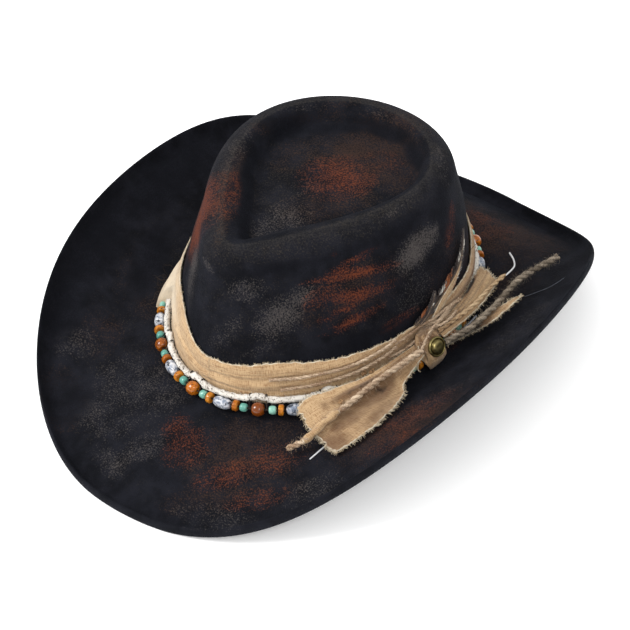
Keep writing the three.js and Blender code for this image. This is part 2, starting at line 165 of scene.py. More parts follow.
def ripple(at: Array, seed: int, waves: int = 5, lowest: float = 1.0) -> Array:
    """Make a smooth random line of about -1 to 1.

    Args:
        at: Places along the line.
        seed: Fixed seed.
        waves: How many sine waves are summed.
        lowest: The slowest wave's turns in one unit of at.

    Returns:
        The line's values.
    """
    r = np.random.default_rng(seed)
    total = np.zeros_like(np.asarray(at, float))
    for k in range(waves):
        rate = lowest * (k + 1) * r.uniform(0.8, 1.2)
        total = total + np.sin(2 * np.pi * (rate * np.asarray(at) + r.random())) / (k + 1) ** 0.7
    return total / 1.8


def to_row(points: Array) -> Array:
    """Move points from the form's millimetres to the row's metres."""
    return (np.asarray(points, float) - np.array([0.0, FORM.brim_middle, 0.0])) * MM


# ---- the hat's own form


@dataclass(frozen=True)
class Taper:
    """How a teardrop narrows to its front: share of width lost and how fast it returns."""

    share: float
    power: float


@dataclass(frozen=True)
class HatForm:
    """The felt's surface as formulas, in millimetres, 0 degrees at the front and 90 at the wearer's left."""

    felt_wall: float = 2.5
    head_half_width: float = 82.5
    head_half_length: float = 104.1
    front_reach: float = 91.8
    back_reach: float = 61.6
    side_reach: float = 70.2
    side_rise: float = 58.4
    foot_height: float = 25.7
    lip_height: float = 8.0
    lip_share: float = 1.05
    front_rise: float = 95.6
    back_rise: float = 94.2
    crest_half_width: float = 71.0
    crest_half_length: float = 78.8
    crest_set_back: float = 5.0
    twist: float = -1.4
    lean: float = -2.7
    rim_radius: float = 14.6
    wall_bulge: float = 3.0
    dent_depth: float = 11.0
    dent_margin_side: float = 9.6
    dent_margin_ends: float = 14.0
    dent_set_back: float = 9.0
    dent_steepness: float = 2.1
    floor_dome: float = 3.0
    centre_share: float = 0.1
    plan_waves: Triple = (-0.09, 0.076, -0.02)
    plan_power: float = 0.94
    sweep_twice: float = 0.045
    sweep_once: float = 0.006
    rise_waves: Triple = (-0.22, 0.33, -0.06)
    rise_power: float = 2.9
    rest_half_angle: float = 10.0
    dish_power: float = 1.8
    side_slope: float = 0.8
    side_arch: float = 0.03
    crest_taper: Taper = Taper(0.67, 1.75)
    dent_taper: Taper = Taper(0.95, 1.75)
    pinches: Route = ((34, 3, 16), (-38, 1.6, 16))

    @property
    def brim_middle(self) -> float:
        """Middle of the brim's length."""
        return (self.back_reach - self.front_reach) / 2

    @property
    def foot_half(self) -> tuple[float, float]:
        """Half width and half length of the crown's foot outside."""
        return self.head_half_width + self.felt_wall, self.head_half_length + self.felt_wall

    @property
    def lip_inner(self) -> float:
        """Where the lip starts, out from the brim's edge."""
        return -self.lip_share * self.lip_height

    def waves(self, turn: Array, shares: Sequence[float]) -> Array:
        """Sum three waves round the brim, 1 at the crown's sides."""
        total = 1 + sum(s * np.cos((k + 1) * turn) for k, s in enumerate(shares))
        return total / (1 - shares[1])

    def foot(self, angle: Array) -> Array:
        """Outer oval of the crown's foot."""
        turn = np.radians(angle)
        wide, long = self.foot_half
        return vectors(wide * np.sin(turn), -long * np.cos(turn), self.foot_height)

    def rise_share(self, angle: Array) -> Array:
        """Share of the side rise that the brim's edge has."""
        turn = np.radians(angle)
        flat = np.sin(np.radians(self.rest_half_angle + 0.01)) ** self.rise_power
        lift = np.maximum(0, np.abs(np.sin(turn)) ** self.rise_power - flat) / (1 - flat)
        return lift * self.waves(turn, self.rise_waves)

    def brim_edge(self, angle: Array) -> Array:
        """Brim's outer edge at the height of its underside."""
        turn = np.radians(angle)
        side = np.sin(turn)
        wide = (self.foot_half[0] + self.side_reach) * self.waves(turn, self.plan_waves)
        half = self.foot_half[1] + (self.front_reach + self.back_reach) / 2
        sweep = (self.sweep_twice + self.sweep_once * np.cos(turn)) * side * side
        x = np.sign(side) * np.abs(side) ** self.plan_power * wide
        return vectors(x, self.brim_middle + half * (sweep - np.cos(turn)), self.side_rise * self.rise_share(angle))

    def outward(self, angle: Array) -> Array:
        """Way out over the brim in plan."""
        return unit((self.brim_edge(angle) - self.foot(angle)) * np.array([1, 1, 0]))

    def lip_point(self, angle: Array, out: Array, up: Array) -> Array:
        """A point of the lip: out from the edge and up from the underside."""
        at = self.brim_edge(angle) + self.outward(angle) * np.asarray(out)[..., None]
        at[..., 2] += up + np.minimum(0, out) * self.side_slope * self.rise_share(angle)
        return at

    def brim_top(self, angle: Array, share: Array) -> Array:
        """Top of the brim, from the crown's foot (0) to the lip (1)."""
        start = self.foot(angle)
        end = self.lip_point(angle, np.full_like(np.asarray(angle, float), self.lip_inner), self.felt_wall)
        at = mix(start, end, np.asarray(share)[..., None])
        at[..., 2] = mix(start[..., 2], end[..., 2], np.abs(share) ** self.dish_power)
        return at

    def teardrop(self, angle: Array, half_width: float, half_length: float, taper: Taper) -> Array:
        """Teardrop in plan, narrow at the front."""
        turn = np.radians(angle)
        width = 1 - taper.share * ((1 + np.cos(turn)) / 2) ** taper.power
        return vectors(half_width * width * np.sin(turn), -half_length * np.cos(turn), 0)

    def seat(self, at: Array, set_back: float) -> Array:
        """Set a plan shape back, turn it and lean it with the crown."""
        turn = np.radians(self.twist)
        x, y = at[..., 0], at[..., 1] + set_back
        return vectors(x * np.cos(turn) - y * np.sin(turn) + self.lean, x * np.sin(turn) + y * np.cos(turn), at[..., 2])

    def crest(self, angle: Array) -> Array:
        """Highest line of the crown's rim."""
        at = self.seat(
            self.teardrop(angle, self.crest_half_width, self.crest_half_length, self.crest_taper), self.crest_set_back
        )
        turn = np.radians(angle)
        rise = mix(self.front_rise, self.back_rise, (1 - np.cos(turn)) / 2)
        at[..., 2] = self.foot_height + rise * (1 + self.side_arch * np.sin(turn) ** 2)
        return at

    def crease(self, angle: Array) -> Array:
        """Bottom of the dent's wall."""
        wide, long = self.crest_half_width - self.dent_margin_side, self.crest_half_length - self.dent_margin_ends
        at = self.seat(self.teardrop(angle, wide, long, self.dent_taper), self.dent_set_back)
        rise = mix(self.front_rise, self.back_rise, (1 - np.cos(np.radians(angle))) / 2)
        at[..., 2] = self.foot_height + rise - self.dent_depth
        return at

    def crown_centre(self) -> Array:
        """Middle of the dent's floor."""
        at = self.seat(np.zeros(3), self.dent_set_back + self.crest_half_length * self.centre_share)
        at[2] = self.foot_height + (self.front_rise + self.back_rise) / 2 - self.dent_depth + self.floor_dome
        return at

    def floor(self, angle: Array, share: Array) -> Array:
        """Floor of the dent, from its middle (0) to the crease (1)."""
        centre, edge = self.crown_centre(), self.crease(angle)
        at = mix(centre, edge, np.asarray(share)[..., None])
        at[..., 2] = mix(centre[2], edge[..., 2], np.asarray(share) ** 2)
        return at

    def dent_wall(self, angle: Array, inward: Array) -> Array:
        """Wall of the dent, from the crest (0) to the crease (1)."""
        top, low = self.crest(angle), self.crease(angle)
        at = mix(top, low, np.asarray(inward)[..., None])
        at[..., 2] = mix(top[..., 2], low[..., 2], np.asarray(inward) ** self.dent_steepness)
        return at

    def rim(self, angle: Array, roll: Array) -> Array:
        """Round rim, from the crest (90) to the shoulder (0)."""
        along = self.crest(angle + 2.0) - self.crest(angle - 2.0)
        out = beside(along)
        turn = np.radians(roll)
        at = self.crest(angle) + out * (self.rim_radius * np.cos(turn))[..., None]
        at[..., 2] -= self.rim_radius * (1 - np.sin(turn))
        return at

    def pinch_depth(self, angle: Array, share: Array) -> Array:
        """How deep the front pinches press the wall in."""
        fade = np.sin(np.pi * np.minimum(1, share)) ** 2
        total = 0.0
        for centre, depth, spread in self.pinches:
            away = turn_from(angle, centre) / spread
            total = total + depth * np.exp(-away * away) * fade
        return total

    def crown_wall(self, angle: Array, share: Array) -> Array:
        """Crown's wall, from the foot (0) to the shoulder (1)."""
        angle, share = arrays(angle, share)
        at = mix(self.foot(angle), self.rim(angle, np.zeros_like(angle)), share[..., None])
        out = unit(at * np.array([1, 1, 0]))
        press = self.wall_bulge * np.sin(np.pi * share) - self.pinch_depth(angle, share)
        return at + out * press[..., None]

    def on_crown(self, angle: Array, up: Array, off: Array) -> Array:
        """A place off the crown's wall, at a height above its foot."""
        angle, up, off = arrays(angle, up, off)
        share = up / (self.rim(angle, np.zeros_like(angle))[..., 2] - self.foot_height)
        along = self.crown_wall(angle + 2, share) - self.crown_wall(angle - 2, share)
        out = beside(along)
        return self.crown_wall(angle, share) + out * off[..., None]

    def on_brim(self, angle: Array, out: Array, up: Array) -> Array:
        """A place over the brim, out from the crown's foot."""
        angle, out, up = arrays(angle, out, up)
        gap = self.lip_point(angle, np.full_like(angle, self.lip_inner), 0.0) - self.foot(angle)
        reach = np.linalg.norm(gap[..., :2], axis=-1)
        at = self.brim_top(angle, out / reach)
        at[..., 2] += up
        return at

    def on_foot(self, angle: Array, out: Array, up: Array) -> Array:
        """A place beside the crown's foot, straight out from its oval."""
        angle, out, up = arrays(angle, out, up)
        along = self.foot(angle + 0.5) - self.foot(angle - 0.5)
        at = self.foot(angle) + beside(along) * out[..., None]
        at[..., 2] += up
        return at


FORM = HatForm()


# ---- meshes


def finish_piece(piece: Piece, slot: Slot, *nodes: str) -> Piece:
    """Tie a piece to the hat's body and hide the CAD nodes that it stands for.

    Args:
        piece: The finished piece.
        slot: The record's material slot; not used.
        *nodes: CAD nodes that it replaces.

    Returns:
        The piece.
    """
    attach(piece, BODY)
    if nodes:
        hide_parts(*nodes)
    LOG.info("%s: %.0f x %.0f x %.0f mm", piece.name, *(s / MM for s in piece.dimensions))
    return piece


def link_mesh(name: str, points: Array, edges: Any = (), faces: Any = ()) -> Piece:
    """Link a mesh object with its place in its mesh."""
    mesh = bpy.data.meshes.new(name)
    mesh.from_pydata([tuple(p) for p in points], edges, faces)
    piece = bpy.data.objects.new(name, mesh)
    bpy.context.scene.collection.objects.link(piece)
    return piece


def make_mesh(name: str, points: Array, faces: Array | list, material: Material, uv: Array | None = None) -> Piece:
    """Make a smooth shaded mesh object.

    Args:
        name: The object's name.
        points: Corners in the row's metres.
        faces: Corner numbers of each face.
        material: Its finish.
        uv: A pair for each corner, put on every face that uses it.

    Returns:
        The object, linked to the scene.
    """
    piece = link_mesh(name, points, faces=[tuple(int(i) for i in f) for f in faces])
    mesh = piece.data
    mesh.validate()
    mesh.shade_smooth()
    if uv is not None:
        layer = mesh.uv_layers.new(name="cloth")
        corner = np.zeros(len(mesh.loops), np.int32)
        mesh.loops.foreach_get("vertex_index", corner)
        layer.data.foreach_set("uv", uv[corner].astype(np.float32).ravel())
    mesh.materials.append(material)
    return piece


def store(piece: Piece, name: str, values: Array) -> None:
    """Store a number or a vector for each corner of a mesh.

    Args:
        piece: The mesh object.
        name: The attribute's name.
        values: One row for each corner.
    """
    values = np.asarray(values, np.float32)
    kind, key = ("FLOAT_VECTOR", "vector") if values.ndim == 2 else ("FLOAT", "value")
    piece.data.attributes.new(name, kind, "POINT").data.foreach_set(key, values.ravel())


def face_out(piece: Piece) -> None:
    """Turn a closed mesh's faces outwards if it encloses a negative volume."""
    mesh = piece.data
    mesh.calc_loop_triangles()
    co = np.array([v.co for v in mesh.vertices])
    a, b, c = co[np.array([t.vertices for t in mesh.loop_triangles])].transpose(1, 0, 2)
    if float((a * np.cross(b, c)).sum()) < 0:
        mesh.flip_normals()


def grid_faces(rows: int, columns: int, wrap_rows: bool, wrap_columns: bool, first: int = 0) -> Array:
    """List the four-sided faces of a grid of points.

    Args:
        rows: Number of rows.
        columns: Points in a row.
        wrap_rows: Whether the last row meets the first.
        wrap_columns: Whether each row's last point meets its first.
        first: Number of the grid's first point.

    Returns:
        Corner numbers, four to a face.
    """
    i = np.arange(rows if wrap_rows else rows - 1)[:, None]
    j = np.arange(columns if wrap_columns else columns - 1)[None, :]
    here, there = i * columns, ((i + 1) % rows) * columns
    after = (j + 1) % columns
    return np.stack(np.broadcast_arrays(here + j, here + after, there + after, there + j), -1).reshape(-1, 4) + first


def grid_normals(grid: Array, wrap_rows: bool, wrap_columns: bool) -> Array:
    """Find the normals of a grid by its neighbours.

    Args:
        grid: Rows of points.
        wrap_rows: Whether the last row meets the first.
        wrap_columns: Whether each row's last point meets its first.

    Returns:
        A normal for each point.
    """

    def step(axis: int, wrap: bool) -> Array:
        """Give the way from each point's neighbour before to the one after."""
        return np.roll(grid, -1, axis) - np.roll(grid, 1, axis) if wrap else np.gradient(grid, axis=axis)

    return unit(np.cross(step(0, wrap_rows), step(1, wrap_columns)))


def cloth_shell(name: str, top: Array, wall: float, wrap_rows: bool, material: Material, flip: bool = False) -> Piece:
    """Give a grid of points a wall, as one closed sheet of cloth.

    Args:
        name: The object's name.
        top: The outer face in the row's metres, rows along the cloth.
        wall: Thickness in metres, laid inwards.
        wrap_rows: Whether the sheet closes on itself along its rows.
        material: Its finish.
        flip: Whether the grid's own normals point inwards.

    Returns:
        The sheet, with an edge weight and a metric UV map.
    """
    rows, columns = top.shape[:2]
    normals = grid_normals(top, wrap_rows, False) * (-1 if flip else 1)
    rim = np.minimum(1, np.minimum(np.arange(columns), np.arange(columns)[::-1]) / 2)
    under = top - normals * (wall * (0.55 + 0.45 * rim))[None, :, None]
    n = rows * columns
    faces = [grid_faces(rows, columns, wrap_rows, False), grid_faces(rows, columns, wrap_rows, False, n)[:, ::-1]]
    i = np.arange(rows if wrap_rows else rows - 1)
    k = (i + 1) % rows
    borders = [(i * columns + j, k * columns + j, turn) for j, turn in ((0, 1), (columns - 1, -1))]
    if not wrap_rows:
        j = np.arange(columns - 1)
        borders += [(r * columns + j, r * columns + j + 1, turn) for r, turn in ((0, -1), (rows - 1, 1))]
    faces += [np.stack([a, b, b + n, a + n], 1)[:, ::turn] for a, b, turn in borders]
    along = run_along(top[:, columns // 2])
    across = np.concatenate([np.zeros((rows, 1)), np.cumsum(np.linalg.norm(np.diff(top, axis=1), axis=2), axis=1)], 1)
    uv = np.stack([np.broadcast_to(along[:, None], (rows, columns)), across], -1).reshape(-1, 2)
    points = np.concatenate([top.reshape(-1, 3), under.reshape(-1, 3)])
    piece = make_mesh(name, points, np.concatenate(faces), material, np.concatenate([uv, uv]))
    near = np.minimum(across, across[:, -1:] - across)
    if not wrap_rows:
        near = np.minimum(near, (along[-1] - along)[:, None])
    store(piece, "edge", np.tile(np.exp(-near / 0.0008).reshape(-1), 2))
    face_out(piece)
    return piece


def rings_along(path: Array, radius: Array, sides: int) -> Array:
    """Sweep a circle along a path.

    Args:
        path: Centre points.
        radius: A radius for each point.
        sides: Corners of the circle.

    Returns:
        The rings of points.
    """
    tangent = unit(np.gradient(path, axis=0))
    side = unit(np.cross(tangent[0], [0.0, 0.3, 1.0]))
    frames = []
    for t in tangent:
        side = unit(side - t * (side @ t))
        frames.append(side)
    side = np.array(frames)
    return swept(path, side, np.cross(tangent, side), np.asarray(radius).reshape(-1, 1, 1), sides)


def swept(path: Array, side: Array, other: Array, radius: Array, sides: int) -> Array:
    """Lay a ring of points round each point of a path, in the plane of two ways."""
    turn = round_turn(sides)
    ring = side[:, None] * np.cos(turn)[None, :, None] + other[:, None] * np.sin(turn)[None, :, None]
    return path[:, None] + ring * radius


def capped(name: str, rings: Array, middles: Any, material: Material, uv: Array | None = None) -> Piece:
    """Make a closed mesh of a stack of rings, with a fan at each end.

    Args:
        name: The object's name.
        rings: Rows of points in the row's metres, each a closed ring.
        middles: The middles of the first and the last fan.
        material: Its finish.
        uv: A pair for each corner.

    Returns:
        The object, faces outwards.
    """
    rows, n = rings.shape[:2]
    j = np.arange(n)
    after, last = (j + 1) % n, (rows - 1) * n
    first_fan = np.stack([np.full(n, rows * n), after, j], 1)
    last_fan = np.stack([np.full(n, rows * n + 1), last + j, last + after], 1)
    fans = [*first_fan, *last_fan]
    points = np.concatenate([rings.reshape(-1, 3), np.reshape(middles, (2, 3))])
    piece = make_mesh(name, points, [*grid_faces(rows, n, False, True), *fans], material, uv)
    face_out(piece)
    return piece


def tube(name: str, path: Array, radius: Array | float, sides: int, material: Material) -> Piece:
    """Make a closed tube with pointed ends along a path.

    Args:
        name: The object's name.
        path: Centre points in metres.
        radius: One radius, or one for each point.
        sides: Corners of its section.
        material: Its finish.

    Returns:
        The tube.
    """
    rings = rings_along(path, np.broadcast_to(np.asarray(radius, float), len(path)), sides)
    return capped(name, rings, [path[0], path[-1]], material)


def joined(name: str, parts: list[Piece]) -> Piece:
    """Join pieces into one."""
    with bpy.context.temp_override(active_object=parts[0], selected_editable_objects=parts):
        bpy.ops.object.join()
    parts[0].name = parts[0].data.name = name
    return parts[0]


# ---- node trees


class Wires:
    """Adds nodes to a tree and joins them."""

    def __init__(self, tree: bpy.types.NodeTree) -> None:
        """Keep the tree."""
        self.tree = tree

    def feed(self, socket: Socket, value: Any) -> None:
        """Join a socket to another, or give it a value of its own."""
        if isinstance(value, Socket):
            self.tree.links.new(value, socket)
        elif socket.type == "RGBA":
            socket.default_value = (*value[:3], 1.0)
        else:
            socket.default_value = value

    def add(self, kind: str, inputs: dict | None = None, **settings: Any) -> bpy.types.Node:
        """Add a node.

        Args:
            kind: Its type.
            inputs: Sockets by name or number, with a value or the socket to join.
            **settings: Its own properties.

        Returns:
            The node.
        """
        node = self.tree.nodes.new(kind)
        for key, value in settings.items():
            setattr(node, key, value)
        for key, value in (inputs or {}).items():
            self.feed(node.inputs[key], value)
        return node

    def math(self, operation: str, a: Any, b: Any = 0.0, c: Any = 0.0) -> Socket:
        """Add a Math node and give its result."""
        return self.add("ShaderNodeMath", {0: a, 1: b, 2: c}, operation=operation).outputs[0]

    def times(self, a: Any, b: Any, plus: Any = None) -> Socket:
        """Multiply two numbers, and add a third if there is one."""
        return self.math("MULTIPLY", a, b) if plus is None else self.math("MULTIPLY_ADD", a, b, plus)

    def plus(self, a: Any, b: Any) -> Socket:
        """Add two numbers."""
        return self.math("ADD", a, b)

    def less(self, a: Any, b: Any) -> Socket:
        """Take b from a."""
        return self.math("SUBTRACT", a, b)

    def over(self, a: Any, b: Any) -> Socket:
        """Divide a by b."""
        return self.math("DIVIDE", a, b)

    def vmath(self, operation: str, a: Any, b: Any) -> Socket:
        """Add a Vector Math node and give its result."""
        return self.add("ShaderNodeVectorMath", {0: a, 1: b}, operation=operation).outputs["Vector"]

    def scaled(self, a: Any, factor: Any) -> Socket:
        """Scale a vector by a number."""
        return self.add("ShaderNodeVectorMath", {0: a, "Scale": factor}, operation="SCALE").outputs[0]

    def parts(self, vector: Any) -> Sequence[Socket]:
        """Split a vector into its three numbers."""
        return self.add("ShaderNodeSeparateXYZ", {0: vector}).outputs

    def vector(self, x: Any, y: Any, z: Any) -> Socket:
        """Make a vector of three numbers."""
        return self.add("ShaderNodeCombineXYZ", {0: x, 1: y, 2: z}).outputs[0]

    def ramp(self, value: Any, low: Any, high: Any, to_low: float = 0.0, to_high: float = 1.0) -> Socket:
        """Map a range smoothly and give the result."""
        inputs = {"Value": value, "From Min": low, "From Max": high, "To Min": to_low, "To Max": to_high}
        return self.add("ShaderNodeMapRange", inputs, interpolation_type="SMOOTHSTEP").outputs[0]

    def noise(self, vector: Any, scale: float, detail: float = 3.0, roughness: float = 0.55, output: int = 0) -> Socket:
        """Add a noise texture and give its value, or its colour as output 1."""
        inputs = {"Vector": vector, "Scale": scale, "Detail": detail, "Roughness": roughness}
        return self.add("ShaderNodeTexNoise", inputs).outputs[output]

    def stretch(self, vector: Any, scale: Sequence[float]) -> Socket:
        """Scale a vector's three numbers with a Mapping node."""
        return self.add("ShaderNodeMapping", {"Vector": vector, "Scale": scale}).outputs[0]

    def stored(self, name: str, output: str = "Fac") -> Socket:
        """Read an attribute of the mesh."""
        return self.add("ShaderNodeAttribute", attribute_name=name).outputs[output]

    def blend(self, share: Any, a: Any, b: Any) -> Socket:
        """Mix two colours by a share."""
        return self.add("ShaderNodeMix", {0: share, 6: a, 7: b}, data_type="RGBA").outputs[2]

    def place(self, group: bpy.types.NodeTree, **inputs: Any) -> bpy.types.NodeOutputs:
        """Place a shared group and give its outputs."""
        return self.add("ShaderNodeGroup", inputs, node_tree=group).outputs


class Group(Wires):
    """A node group in the making, with named inputs and outputs."""

    KINDS = {float: "NodeSocketFloat", int: "NodeSocketInt", tuple: "NodeSocketVector"}

    def __init__(self, name: str, kind: str, takes: dict[str, Any], gives: dict[str, Any]) -> None:
        """Start the group.

        Args:
            name: Its name.
            kind: Its tree's type.
            takes: Its inputs, each with its first value, or its socket type where it has none.
            gives: Its outputs, likewise.
        """
        super().__init__(bpy.data.node_groups.new(name, kind))
        for sockets, way in ((takes, "INPUT"), (gives, "OUTPUT")):
            for key, value in sockets.items():
                kind = value if isinstance(value, str) else self.KINDS[type(value)]
                socket = self.tree.interface.new_socket(key, in_out=way, socket_type=kind)
                if way == "INPUT" and not isinstance(value, str):
                    socket.default_value = value
        self.takes = self.add("NodeGroupInput").outputs
        self.gives = self.add("NodeGroupOutput").inputs

    def give(self, **results: Socket) -> bpy.types.NodeTree:
        """Join the group's outputs and give its tree."""
        for key, value in results.items():
            self.feed(self.gives[key], value)
        return self.tree


class SharedEffects:
    """Shader groups that more than one finish uses, each built once."""

    NOWHERE = (0.0, 0.0, 0.0)

    def __init__(self) -> None:
        """Build every group."""
        self.brush = self._brush()
        self.weave = self._weave()
        self.fibres = self._fibres()
        self.wear_highlight = self._wear_highlight()

    def _brush(self) -> bpy.types.NodeTree:
        """Dry brush paint: a stored mask that breaks up in streaks along the strokes and in the grain."""
        takes = {"Mask": 0.0, "Streak": self.NOWHERE, "Grain": 0.0, "Streaky": 1.0, "Low": 0.25, "High": 0.8}
        w = Group("dry_brush", "ShaderNodeTree", takes, {"Amount": 0.0})
        mask = w.takes["Mask"]
        streak = w.noise(w.stretch(w.takes["Streak"], (55, 520, 60)), 1.0, 3.0, 0.6)
        total = w.times(mask, 0.75, w.times(w.less(streak, 0.5), w.takes["Streaky"]))
        total = w.times(w.plus(total, w.takes["Grain"]), w.ramp(mask, 0.0, 0.25))
        return w.give(Amount=w.ramp(total, w.takes["Low"], w.takes["High"]))

    def _weave(self) -> bpy.types.NodeTree:
        """Plain weave from a metric UV map: height and a thread mask."""
        takes = {"UV": self.NOWHERE, "Pitch": 0.00055}
        w = Group("plain_weave", "ShaderNodeTree", takes, {"Height": 0.0, "Slub": 0.0})
        at = w.vmath("ADD", w.takes["UV"], w.scaled(w.noise(w.takes["UV"], 260.0, 2.0), 0.0005))
        heights = []
        for axis in w.parts(at)[:2]:
            wave = w.math("SINE", w.times(w.over(axis, w.takes["Pitch"]), 2 * np.pi))
            heights.append(w.times(w.times(wave, 0.5, 0.5), 0.4))
        fine = w.noise(w.stretch(at, (500, 3600, 1)), 1.0, 2.0)
        cross = w.noise(w.stretch(at, (2400, 260, 1)), 1.0, 2.0)
        slub = w.times(w.noise(w.stretch(at, (70, 1300, 1)), 1.0, 3.0), 0.45, w.times(cross, 0.55))
        return w.give(Height=w.times(fine, 0.4, w.times(cross, 0.6, w.plus(*heights))), Slub=slub)

    def _fibres(self) -> bpy.types.NodeTree:
        """Fine fibre tangle from a position: height and a tone."""
        takes = {"Position": self.NOWHERE, "Scale": 900.0}
        w = Group("fibre_tangle", "ShaderNodeTree", takes, {"Height": 0.0, "Tone": 0.0})
        at = w.scaled(w.takes["Position"], w.takes["Scale"])
        return w.give(Height=w.noise(at, 1.0, 4.0, 0.7), Tone=w.noise(at, 0.06, 3.0, 0.6))

    def _wear_highlight(self) -> bpy.types.NodeTree:
        """A worn line that is also a painted highlight: a stored weight broken up by the grain."""
        w = Group("worn_line", "ShaderNodeTree", {"Weight": 0.0, "Position": self.NOWHERE}, {"Amount": 0.0})
        grain = w.noise(w.takes["Position"], 1000.0, 4.0, 0.7)
        return w.give(Amount=w.ramp(w.times(w.less(grain, 0.5), 2.0, w.takes["Weight"]), 0.2, 1.2))


EFFECTS = SharedEffects()


class Skin(Wires):
    """A material in the making."""

    def __init__(self, name: str) -> None:
        """Start it, with the place on the piece at hand."""
        self.material = bpy.data.materials.new(name)
        self.material.use_nodes = True
        super().__init__(self.material.node_tree)
        self.at = self.add("ShaderNodeTexCoord").outputs["Object"]

    def finish(self, values: dict[str, Any], height: Any = None, depth: float = 0.0) -> Material:
        """Feed the material's Principled shader.

        Args:
            values: Its sockets by name, with values or sockets.
            height: The height of its relief.
            depth: The relief's depth in metres.

        Returns:
            The material.
        """
        if height is not None:
            relief = self.add("ShaderNodeBump", {"Height": height, "Distance": depth, "Strength": 1.0})
            values = {**values, "Normal": relief.outputs[0]}
        for key, value in values.items():
            self.feed(self.tree.nodes["Principled BSDF"].inputs[key], value)
        return self.material


# ---- finishes


@dataclass(frozen=True)
class BrushStroke:
    """Paint brushed on the felt: its middle, its half length and half width as vectors, in the row's millimetres."""

    centre: Triple
    along: Triple
    across: Triple
    strength: float = 1.0

    def mirrored(self) -> "BrushStroke":
        """Give the same stroke on the hat's other side."""
        return BrushStroke(*((-v[0], v[1], v[2]) for v in (self.centre, self.along, self.across)), self.strength)


@dataclass(frozen=True)
class Paint:
    """One colour of paint, its strokes, their depth in millimetres and the limits between bare felt and full paint."""

    name: str
    colour: Colour
    strokes: tuple[BrushStroke, ...]
    low: float = 0.25
    high: float = 0.8
    streaky: float = 1.0
    depth: float = 18.0
    reach: float = 1.5
    fade: float = 1.2

    def lay(self, points: Array) -> tuple[Array, Array]:
        """Work out the paint on a surface.

        Args:
            points: The surface's corners in the row's metres.

        Returns:
            A mask of 0 to 1 for each corner, and its place along and across its strongest stroke in metres.
        """
        mask = np.zeros(len(points))
        streak = np.zeros((len(points), 3))
        for number, stroke in enumerate(self.strokes):
            along, across = np.array(stroke.along, float) * MM, np.array(stroke.across, float) * MM
            away = points - np.array(stroke.centre) * MM
            face = unit(np.cross(along, across))
            u, v = away @ along / (along @ along), away @ across / (across @ across)
            near = np.sqrt(u**2 + v**2 + (away @ face / (self.depth * MM)) ** 2)
            value = stroke.strength * eased(np.clip((self.reach - near) / self.fade, 0, 1))
            place = np.stack([away @ unit(along), away @ unit(across), away @ face + number], 1)
            streak = np.where((value > mask)[:, None], place, streak)
            mask = np.maximum(mask, value)
        return mask, streak


@dataclass(frozen=True)
class FeltFinish:
    """Black felt with a brown dust in it, thinned to a painted shade at the dent's crease, rust, grey and brown paint
    dry-brushed on it, near-black strokes of painted shade, and a light line on its crest that is wear and a painted
    highlight.
    """

    paints: tuple[Paint, ...]
    base: Colour = paint(30, 31, 38)
    deep: Colour = paint(17, 18, 23)
    dust: Colour = paint(64, 58, 52)
    # light grey of the crest line: wear and a painted highlight
    wear_and_highlight: Colour = paint(78, 74, 69)
    sheen: Colour = linear(150, 160, 190)
    nap_scale: float = 1100.0
    nap_contrast: float = 3.2
    nap_depth: float = 0.0005

    def material(self) -> Material:
        """Build the felt's material."""
        w = Skin("brushed_felt")
        outside = w.stored("outside")
        fibres = w.place(EFFECTS.fibres, Position=w.at, Scale=self.nap_scale)
        blot = w.less(w.noise(w.at, 55.0, 4.0, 0.6), 0.5)
        grain = w.plus(blot, w.times(w.less(w.noise(w.at, self.nap_scale, 3.0, 0.7), 0.5), self.nap_contrast))
        colour = w.blend(w.ramp(fibres["Tone"], 0.3, 0.7), self.deep, self.base)
        # Brown dust speckle, thinned towards the dent's crease as a painted shade there.
        dust_and_shade_speckle = w.ramp(w.times(w.stored("dusty"), 0.55, grain), 0.2, 1.1)
        colour = w.blend(w.times(dust_and_shade_speckle, w.times(outside, 0.9)), colour, self.dust)
        for layer in self.paints:
            mask, streak = w.stored(f"{layer.name}_mask"), w.stored(f"{layer.name}_streak", "Vector")
            look = {"Streaky": layer.streaky, "Low": layer.low, "High": layer.high}
            amount = w.place(EFFECTS.brush, Mask=mask, Streak=streak, Grain=grain, **look)[0]
            colour = w.blend(w.times(amount, outside), colour, layer.colour)
        # Light line along the crest and the lip: wear and a painted highlight.
        wear_and_highlight = w.place(EFFECTS.wear_highlight, Weight=w.stored("ridge"), Position=w.at)[0]
        colour = w.blend(w.times(wear_and_highlight, 0.55), colour, self.wear_and_highlight)
        values = {
            "Base Color": colour, "Roughness": 0.95, "Specular IOR Level": 0.08,
            "Sheen Weight": 0.03, "Sheen Roughness": 0.4, "Sheen Tint": self.sheen,
        }  # fmt: skip
        return w.finish(values, w.times(w.noise(w.at, 320.0, 3.0), 0.8, fibres["Height"]), self.nap_depth)


